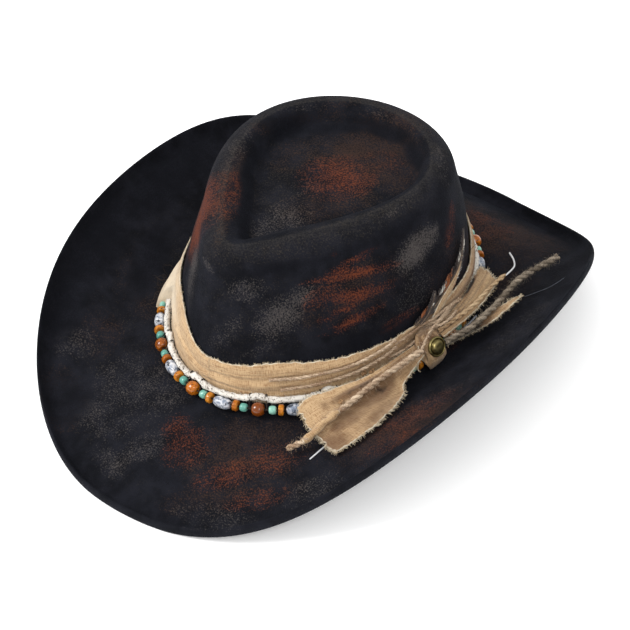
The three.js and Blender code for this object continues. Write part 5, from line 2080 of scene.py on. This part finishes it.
@dataclass
class BeadWork:
    """String of beads round the crown's foot and the cream cord above it."""

    form: HatForm
    repeats: int = 14
    start: float = -21.0
    out: float = 7.2
    up: float = 5.9
    thread_radius: float = 0.00055
    cream_radius: float = 1.6
    cream_fill: float = 0.98
    cream_points: int = 1100
    cream_sides: int = 18
    band_wall: float = 1.7
    clearance: float = 0.35
    fluff: int = 2600
    fluff_hair: Hair = Hair(0.0017, 0.0001, 0.8, 0.9)
    winds: tuple[tuple[str, int, Triple], ...] = (
        ("cord_strands", 5, (1.4, 0.5, 8.0)),
        ("cord_slub", 3, (1.6, 0.36, 4.5)),
        ("cord_dark", 1, (1.75, 0.16, 3.4)),
    )
    oval: Bead = Bead("bead_oval", 12.6, 3.7, 2.3, 0)
    disc: Bead = Bead("bead_disc", 3.4, 3.4, 5.0, 0)
    stone: Bead = Bead("bead_stone", 4.8, 2.6, 3.2, 1)
    wood: Bead = Bead("bead_wood", 8.8, 4.4, 2.15, 1)
    stone_after: Bead = Bead("bead_stone", 4.8, 2.6, 3.2, 0)

    @property
    def order(self) -> tuple[Bead, ...]:
        """One repeat of the string."""
        return self.oval, self.disc, self.stone, self.wood, self.stone_after, self.disc

    @property
    def cream_seat(self) -> tuple[float, float]:
        """The cream cord's height above the foot and distance off the crown, so that it lies on the wooden beads."""
        off = self.band_wall + self.cream_radius + self.clearance
        reach = self.wood.radius + self.cream_radius + self.clearance
        return self.up + np.sqrt(reach**2 - (self.out - off) ** 2), off

    def ring(self, out: float) -> tuple[Array, Array]:
        """Angles round the foot and the lengths along a ring there."""
        angle = np.linspace(0, 360, 1441)
        return angle, run_along(self.form.on_foot(angle, out, 0.0))

    def places(self) -> tuple[dict[str, list[float]], list[float]]:
        """Find each bead's middle and each tied gap along the string.

        Returns:
            The middles by kind of bead, and the gaps, as lengths along the ring.
        """
        angle, lengths = self.ring(self.out)
        whole = lengths[-1]
        gap = (whole / self.repeats - sum(b.length for b in self.order)) / (len(self.order) + 2)
        at = float(np.interp(self.start % 360, angle, lengths)) - self.oval.length / 2
        middles: dict[str, list[float]] = {}
        ties: list[float] = []
        for bead in self.order * self.repeats:
            middles.setdefault(bead.name, []).append((at + bead.length / 2) % whole)
            at += bead.length
            wide = gap * (1 + bead.spare)
            if bead.spare:
                ties.append((at + wide / 2) % whole)
            at += wide
        return middles, ties

    def build(self, finishes: dict[str, Material], dark: Material, cream: Material) -> None:
        """String the beads, their thread and the tied cream cord.

        Args:
            finishes: Each bead's material by its name.
            dark: The dark thread's material.
            cream: The cream cord's material.
        """
        angle, lengths = self.ring(self.out)
        middles, ties = self.places()
        kinds = {b.name: b for b in self.order}
        for number, (name, at) in enumerate(middles.items()):
            a = np.interp(at, lengths, angle)
            r = np.random.default_rng(31 + number)
            out, up = self.out + r.normal(0, 0.12, len(a)), self.up + r.normal(0, 0.15, len(a))
            along = unit(self.form.on_foot(a + 0.5, self.out, self.up) - self.form.on_foot(a - 0.5, self.out, self.up))
            along = unit(along + r.normal(0, 0.03, along.shape))
            bead = kinds[name]
            cloud = link_mesh(name, to_row(self.form.on_foot(a, out, up)))
            store(cloud, "way", along)
            store(cloud, "tone", r.random(len(a)))
            sizes = {"Length": bead.length * MM, "Radius": bead.radius * MM, "Power": bead.power}
            strung = GROWTH.grow(GROWTH.strung, cloud, {**sizes, "Material": finishes[name]})
            finish_piece(strung, Slot.BEADS, "bead_string")
        path = to_row(self.form.on_foot(np.linspace(0, 360, 720, endpoint=False), self.out, self.up))
        thread = self.loop("bead_thread", path, np.full((len(path), 1), self.thread_radius), 6, dark)
        finish_piece(thread, Slot.BEADS, "bead_string")
        wood, gaps = (np.interp(v, lengths, angle) for v in (middles["bead_wood"], ties))
        self.cream(np.sort(gaps), wood, dark, cream)

    def loop(self, name: str, path: Array, radius: Array, sides: int, material: Material) -> Piece:
        """Sweep a section along a closed path that lies flat.

        Args:
            name: The piece's name.
            path: Its centre line in metres.
            radius: A row of radii for each point.
            sides: Corners of the section.
            material: Its finish.

        Returns:
            The piece, faces outwards.
        """
        tangent = unit(np.roll(path, -1, 0) - np.roll(path, 1, 0))
        out = unit(np.cross(tangent, np.array([0.0, 0.0, 1.0])))
        rings = swept(path, out, np.cross(out, tangent), radius[..., None], sides)
        piece = make_mesh(name, rings.reshape(-1, 3), grid_faces(len(path), sides, True, True), material)
        face_out(piece)
        return piece

    def cream_path(self, full: Array, wood: Array, away: Array) -> tuple[Array, Array]:
        """Lay the cream cord's centre line, slack between the wooden beads, and find its thickness.

        Args:
            full: Angles round the hat.
            wood: The wooden beads' angles.
            away: Turn from each angle to the nearest tie.

        Returns:
            The line in metres and the cord's swell, 1 as planned.
        """
        up, off = self.cream_seat
        slack = 1 - np.exp(-((np.abs(turn_from(full[:, None], wood[None])).min(1) / 3.4) ** 2))
        swell = 1.12 + 0.2 * ripple(full / 360, 51, 7, 34.0) + 0.22 * np.sin(np.pi * np.clip(away / 4, 0, 1))
        wobble = 0.35 * ripple(full / 360, 52, 5, 12.0)
        path = to_row(self.form.on_crown(full, up + 0.5 * wobble - 1.7 * slack, off + 0.3 * wobble + 0.8 * slack))
        return path, swell * (1 - 0.42 * np.exp(-((away / 0.75) ** 2)))

    def cream(self, ties: Array, wood: Array, dark: Material, cream: Material) -> None:
        """Make the fibrous cord, pinched where dark thread ties it to the beads.

        Args:
            ties: The ties' angles.
            wood: The wooden beads' angles.
            dark: The dark thread's material.
            cream: The cord's material.
        """
        count = self.cream_points
        full = np.arange(count) * 360 / count
        path, swell = self.cream_path(full, wood, np.abs(turn_from(full[:, None], ties[None])).min(1))
        turn = round_turn(self.cream_sides)
        lumps = 1 + 0.1 * np.sin(np.radians(full * 70)[:, None] + 3 * turn[None])
        lumps = lumps + 0.05 * np.sin(np.radians(full * 150)[:, None] + 5 * turn[None])
        radius = (self.cream_radius * self.cream_fill * MM * swell)[:, None] * lumps
        finish_piece(self.loop("tied_cord", path, radius, self.cream_sides, cream), Slot.CREAM, "cream_cord")
        for name, strands, sizes in self.winds:
            finish_piece(GROWTH.cord(name, path, strands, sizes, dark if strands == 1 else cream), Slot.CREAM)
        r = np.random.default_rng(8)
        pick = r.random(self.fluff) * count
        i, t = pick.astype(int), (pick % 1)[:, None]
        out = unit(r.normal(size=(self.fluff, 3)) + np.array([0, 0, 0.3]))
        places = mix(path[i], path[(i + 1) % count], t) + out * self.cream_radius * MM
        finish_piece(self.fluff_hair.grow("cord_fluff", places, out, 4, cream), Slot.CREAM)
        knots = [self.tie(i, a, dark) for i, a in enumerate(ties)]
        finish_piece(joined("thread_ties", knots), Slot.CREAM)

    def tie(self, number: int, angle: float, dark: Material) -> Piece:
        """Wind thread round the cream cord and down to the bead string.

        Args:
            number: The tie's number.
            angle: Its place round the hat.
            dark: Its material.

        Returns:
            The tie.
        """
        f = self.form
        centre = f.on_crown(angle, *self.cream_seat)
        out = unit(f.on_foot(angle, 1.0, 0.0) - f.on_foot(angle, 0.0, 0.0))
        top = np.array([0, 0, 1.0])
        turn = np.linspace(0, 4 * np.pi, 40)
        radius = 1.25
        coil = centre + out * (radius * np.cos(turn))[:, None] + top * (radius * np.sin(turn))[:, None]
        coil = coil + np.cross(top, out) * (0.35 * np.sin(turn * 0.5 + number))[:, None]
        string = f.on_foot(angle, self.out, self.up)
        drop = [mix(coil[-1], string, s) + out * 0.5 * np.sin(np.pi * s) for s in np.linspace(0.1, 1, 8)]
        return tube(f"tie_{number}", to_row(np.concatenate([coil, drop])), 0.00026, 5, dark)


# ---- knot, button and feathers


@dataclass
class Knot:
    """Cloth wrapped round the gathered tails, in rows of height, faces and half width, and the button on it."""

    form: HatForm
    angle: float = 84.0
    rows: Route = (
        (3.2, 12.6, 14.6, 6), (8, 12.5, 16, 8), (12, 5, 16, 8.5), (16, 2.4, 14.5, 8.5),
        (21, 2.2, 12, 8), (25, 2.2, 7, 6),
    )  # fmt: skip
    squareness: float = 0.7
    # Soil and painted shade on the wrap by height.
    soil: Route = ((3, 0.9), (8, 0.25), (14, 0.45), (19, 0.9), (25, 1.0))
    button_radius: float = 6.3
    button_rise: float = 3.2
    button_edge: float = 1.0
    button_seat: tuple[float, float] = (14.3, 18.0)
    button_facing: Triple = (0.88, -0.16, 0.42)
    rubbed: Route = ((0, 0.9), (0.5, 0.7), (0.74, 0.25), (0.8, 0.0), (0.88, 1), (1, 0.4))

    def build(self, finish: ClothFinish) -> None:
        """Make the wrap: squared ovals with folds round them."""
        f = self.form
        up, inner, outer, half = spline(self.rows, 44).T
        centre = f.on_foot(np.full_like(up, self.angle), (inner + outer) / 2, up)
        out = unit(f.on_foot(self.angle, 1.0, 0.0) - f.on_foot(self.angle, 0.0, 0.0))
        along = np.array([-out[1], out[0], 0.0])
        turn = round_turn(72)
        rise = up[:, None]
        fold = 1 + 0.05 * np.sin(turn[None] * 5 + rise * 0.3) + 0.035 * np.sin(turn[None] * 13 - rise * 0.35)
        grid = centre[:, None]
        for way, reach, wave in ((out, (outer - inner) / 2, np.cos(turn)), (along, half, np.sin(turn))):
            squared = np.sign(wave) * np.abs(wave) ** self.squareness
            grid = grid + way * (reach[:, None] * squared[None] * fold)[..., None]
        girth = np.stack(np.broadcast_arrays(turn * 0.008, rise * MM), -1).reshape(-1, 2)
        rows = to_row(grid)
        uv = np.concatenate([girth, [[0, 0], [0, 0.03]]])
        piece = capped("knot_cloth", rows, [rows[0].mean(0), rows[-1].mean(0)], finish.material(), uv)
        store(piece, "edge", np.zeros(len(piece.data.vertices)))
        # Soil and painted shade by height, deeper in five folds round the wrap.
        soil = np.interp(up, *np.array(self.soil).T)[:, None] * (0.7 + 0.3 * np.sin(turn * 5 + 1.0))[None]
        store(piece, "soil", np.concatenate([soil.reshape(-1), [0.9, 0.9]]))
        finish_piece(piece, Slot.CLOTH, "knot_wrap")

    def button(self, finish: BrassFinish) -> None:
        """Turn the button's profile and set it on its seat."""
        r, h, e = self.button_radius, self.button_rise, self.button_edge
        marks = (
            (0.0, 0.0), (r * 0.6, 0.0), (r * 0.97, 0.05), (r, e * 0.5), (r * 0.985, e), (r * 0.92, e * 1.42),
            (r * 0.86, e * 1.45), (r * 0.81, e * 1.1), (r * 0.76, e * 1.25), (r * 0.66, h * 0.68), (r * 0.5, h * 0.88),
            (r * 0.3, h * 0.97), (r * 0.05, h),
        )  # fmt: skip
        profile = spline(marks, 60)
        wide, rise = profile[profile[:, 0] > 0.02 * r].T
        turn = round_turn(64)
        grid = vectors(wide[:, None] * np.cos(turn), rise[:, None], wide[:, None] * np.sin(turn))
        spin = np.array(Vector((0, 1, 0)).rotation_difference(Vector(self.button_facing).normalized()).to_matrix()).T
        seat = self.form.on_foot(self.angle, *self.button_seat)
        middles = to_row(np.array([[0, 0, 0], [0, h, 0]]) @ spin + seat)
        piece = capped("brass_button", to_row(grid @ spin + seat), middles, finish.material())
        rubbed = np.interp(wide / r, *np.array(self.rubbed).T)
        store(piece, "rubbed", np.concatenate([np.repeat(rubbed, len(turn)), [0, 0.9]]))
        finish_piece(piece, Slot.BRASS, "concho")


@dataclass
class Feather:
    """Barbed feather on the crown: a vane of fine barbs on both sides of a shaft."""

    name: str
    node: str
    blade: ClimbingBlade
    barbs: int = 90
    shaft: float = 0.45
    shaft_end: float = 0.12
    stations: int = 200
    steps: int = 9
    barb_width: float = 0.42
    sides: tuple[int, int] = (-1, 1)

    def barb(self, frame_at: Sequence[Array], side: int, r: np.random.Generator) -> Array:
        """Lay one barb as rows of four points.

        Args:
            frame_at: The blade's centre, ways and half width at its root.
            side: Which side of the shaft it grows on, -1 or 1.
            r: The feather's random numbers.

        Returns:
            The points in millimetres.
        """
        c, a, x, n, w = frame_at
        steps = np.linspace(0, 1, self.steps)
        reach = w * r.uniform(0.86, 1.08)
        lean = 0.75 + 0.15 * r.normal()
        wide = (self.barb_width * (1 - 0.55 * steps))[:, None]
        spine = c + x * (side * reach * steps)[:, None] + a * (lean * reach * steps**1.4)[:, None]
        spine = spine + n * (0.25 + 0.5 * np.sin(np.pi * steps * 0.9) - 0.35 * steps)[:, None]
        return np.stack([spine - a * wide, spine + n * 0.18, spine + a * wide, spine - n * 0.12], 1)

    def build(self, finish: FeatherFinish, shaft_finish: Material) -> None:
        """Make the vane's barbs and the shaft.

        Args:
            finish: The vane's finish.
            shaft_finish: The shaft's material.
        """
        frames = self.blade.frames(self.stations)
        r = np.random.default_rng(len(self.name))
        at = (np.arange(self.barbs) + 0.5) / self.barbs
        index = np.arange(self.stations)
        table = np.concatenate([v.reshape(self.stations, -1) for v in frames], 1)
        roots = np.stack([np.interp(at * (self.stations - 1), index, column) for column in table.T], 1)
        points, faces = [], []
        block = 4 * self.steps
        for side in self.sides:
            for root in roots:
                first = len(points) * block
                points.append(self.barb((root[:3], root[3:6], root[6:9], root[9:12], root[12]), side, r).reshape(-1, 3))
                ends = np.array([range(4), range(block - 1, block - 5, -1)])
                faces += [grid_faces(self.steps, 4, False, True, first), first + ends]
        vane = make_mesh(self.name, to_row(np.concatenate(points)), np.concatenate(faces), finish.material())
        face_out(vane)
        store(vane, "along", np.tile(np.repeat(at, block), 2))
        reach = np.repeat(np.linspace(0, 1, self.steps), 4)
        store(vane, "across", np.concatenate([np.tile(side * reach, self.barbs) for side in self.sides]))
        finish_piece(vane, Slot.FEATHER, self.node)
        quill = to_row(frames[0] + frames[3] * 0.55)[::3]
        taper = np.linspace(self.shaft, self.shaft_end, len(quill)) * MM
        finish_piece(tube(f"{self.name}_shaft", quill, taper, 8, shaft_finish), Slot.FEATHER)


# ---- loose ends


@dataclass
class WaxedEnds:
    """White waxed cord ends that stick out of the tails."""

    form: HatForm
    low: Route = ((83.6, -83, 27.6), (83.3, -88.6, 26.6), (82.4, -93, 25.8), (80.8, -102, 24.2))
    high: Route = ((118.5, 27, 18.5), (121.5, 31, 20), (124, 30, 22), (126.5, 27, 24))
    radius: float = 0.5

    def build(self, material: Material) -> None:
        """Make the ends."""
        for name, route, ground in (("low", self.low, Ground.ROW), ("high", self.high, Ground.BRIM)):
            path = follow(route, ground, self.form, 40)
            finish_piece(tube(f"waxed_end_{name}", path, self.radius * MM, 10, material), Slot.CREAM)


@dataclass
class LooseThreads:
    """Thread knots, a loop beside the knot, single loose hairs and the hairs of the band's torn flap."""

    form: HatForm
    knots: Route = (
        (74.6, -38.6, 41.6), (77.8, -34.6, 41.8), (70.6, -66.6, 37), (72.6, -62.8, 37.4), (76.6, -64.6, 39.4),
    )  # fmt: skip
    loop: Route = ((84.6, -2, 44.4), (90, -4, 45.4), (94.6, -9.5, 43.4), (98.4, -16, 39.6), (99.4, -15, 36.8))
    long_hair: Route = ((112, 78, 35), (119, 81.6, 39.4), (125.5, 87.4, 43), (129, 97, 44.6))
    white: Route = ((86, 24.4, 49.4), (86.6, 27.4, 52.4), (86.2, 31.4, 54.8), (86.4, 35.4, 55.4), (89, 35.8, 58.4))
    curl: Route = ((82, 58, 66), (84, 62, 72), (84.6, 68, 73), (84, 69.5, 69), (84.4, 65, 66.8))
    flap: tuple[float, float] = (-74, -55)
    hairs: int = 46
    hair: Hair = Hair(0.0065, 0.00016, 0.5, 0.8)

    def curled(self, number: int, at: Sequence[float], r: np.random.Generator) -> Piece:
        """Curl a thread into a small knot.

        Args:
            number: The knot's number.
            at: Its place in the row's millimetres.
            r: Random numbers for its turns.

        Returns:
            The knot.
        """
        turn = np.linspace(0, 3.4 * np.pi, 36) + r.uniform(0, 6)
        curl = np.stack([np.cos(turn) * 1.1, np.sin(turn) * 1.3, 0.5 * np.sin(turn * 1.7)], 1)
        curl = curl + np.linspace(-1, 1, 36)[:, None] * r.normal(0, 1.0, 3) * np.array([1, 1, 0.3])
        return tube(f"knot_{number}", (curl + np.array(at)) * MM, 0.0004, 6, KNOT_THREAD)

    def build(self, dark: Material) -> None:
        """Make them."""
        r = np.random.default_rng(17)
        parts = [self.curled(number, at, r) for number, at in enumerate(self.knots)]
        finish_piece(joined("thread_knots", parts), Slot.CLOTH)
        for name, route, radius, sides, material, slot in (
            ("thread_loop", self.loop, 0.00032, 6, RAW_THREAD, Slot.CLOTH),
            ("feather_thread", self.white, 0.00034, 6, RAW_THREAD, Slot.FEATHER),
            ("loose_hair", self.long_hair, 0.0001, 5, GREY_THREAD, Slot.CLOTH),
            ("feather_curl", self.curl, 0.00013, 5, dark, Slot.FEATHER),
        ):
            finish_piece(tube(name, follow(route, Ground.ROW, self.form, 40), radius, sides, material), slot)
        angle = r.uniform(*self.flap, self.hairs)
        n = len(angle)
        places = self.form.on_foot(angle, 12.5 + r.normal(0, 0.6, n), 5.0 + r.normal(0, 1.5, n))
        out = unit(self.form.on_foot(angle, 2.0, 0.0) - self.form.on_foot(angle, 0.0, 0.0))
        way = unit(out + vectors(0, r.normal(0, 0.7, n), r.uniform(0, 0.9, n)))
        finish_piece(self.hair.grow("band_hairs", to_row(places), way, 2, dark), Slot.CLOTH)


MAIN_FEATHER = (
    (83.5, 28, 2.4, 2), (88.5, 30.5, 2.8, 4.4), (94, 32, 3, 6.6), (101, 36, 2.8, 7.4), (108.5, 40, 2.6, 6.4),
    (114.5, 47, 2.2, 4.6), (119.5, 56, 1.6, 1.6),
)  # fmt: skip
SMALL_FEATHER = ((85, 28, 4.4, 1.6), (89, 32, 4.8, 3.2), (92, 37, 4.8, 3), (94, 42.5, 4.6, 1))
NARROW_TAIL = ((88.6, 22, 4.6, 2.6), (96, 28, 3, 3.8), (102, 32, 2.6, 4), (110, 38, 2, 3.4), (116, 46, 1.6, 0.8))
BEAD_FINISHES = {
    "bead_oval": BeadFinish(
        "veined_stone", paint(242, 242, 244), paint(132, 142, 160), paint(38, 44, 56), 330, 0.49, 0.6, marble=0.85
    ),
    "bead_disc": BeadFinish(
        "amber_wood", paint(226, 146, 44), paint(170, 92, 18), paint(60, 30, 8), 300, 0.58, 0.66, bands=True, coat=0.4
    ),
    "bead_stone": BeadFinish(
        "turquoise_stone", paint(158, 212, 192), paint(98, 166, 150), paint(48, 86, 80), 620, 0.6, 0.74
    ),
    "bead_wood": BeadFinish(
        "polished_wood", paint(206, 116, 18), paint(134, 64, 6), paint(54, 22, 4), 300, 0.52, 0.68, coat=1.0, bands=True
    ),
}
DARK_THREAD = FibreFinish("dark_thread", paint(74, 62, 54), paint(26, 22, 22), 1500, 0.0001)
CREAM_FIBRE = FibreFinish(
    "cream_fibre", paint(250, 244, 234), paint(150, 128, 108), 1200, 0.0006, low=0.3, high=0.5, specks=0.85
)
SHAFT = FibreFinish("feather_shaft", paint(150, 128, 106), paint(70, 54, 44), 900, 0.00005, roughness=0.5)
WAX = FibreFinish("waxed_white", paint(250, 250, 250), paint(222, 222, 226), 600, 0.00004, roughness=0.45)
MAIN_VANE = FeatherFinish("barred_vane", spots=((0.3, 0.6), (0.42, -0.6), (0.62, 0.7), (0.74, -0.6), (0.86, 0.5)))
SMALL_VANE = FeatherFinish("spotted_vane", bars=(), spots=((0.6, 0.3), (0.9, 0.0)))


def main() -> None:
    """Build the hat piece by piece."""
    logging.basicConfig(level=logging.INFO, format="%(name)s %(message)s")
    studio = Studio()
    studio.camera()
    CordWork(FORM).build()
    studio.build()
    FeltBody(FORM).build(FeltFinish(felt_paints()))
    cloth = ClothFinish("torn_cotton")
    ClothBand(FORM).build(cloth)
    Tail("tail_front", "front_tail", FRONT_TAIL, FORM, (0.034, 0.095), 40, 3, 0.6, FRONT_STAINS_AND_SHADE).build(cloth)
    Tail("tail_wide", "wide_tail", WIDE_TAIL, FORM, (0.02, 0.058), 40, 5, 0.5, WIDE_STAINS_AND_SHADE).build(cloth)
    Tail("tail_low", "low_tail", LOW_TAIL, FORM, (0.012, 0.052), 20, 7, 0.5, LOW_STAINS_AND_SHADE).build(cloth)
    NarrowTail(ClimbingBlade(NARROW_TAIL, FORM)).build(cloth)
    Knot(FORM).build(ClothFinish("wrapped_cotton", stained=0.5))
    Knot(FORM).button(BrassFinish())
    finishes = {name: finish.material() for name, finish in BEAD_FINISHES.items()}
    BeadWork(FORM).build(finishes, DARK_THREAD.material(), CREAM_FIBRE.material())
    shaft = SHAFT.material()
    Feather("feather_main", "main_feather", ClimbingBlade(MAIN_FEATHER, FORM)).build(MAIN_VANE, shaft)
    Feather("feather_small", "small_feather", ClimbingBlade(SMALL_FEATHER, FORM), 50).build(SMALL_VANE, shaft)
    WaxedEnds(FORM).build(WAX.material())
    LooseThreads(FORM).build(DARK_HAIR)


if __name__ == "__main__":
    main()
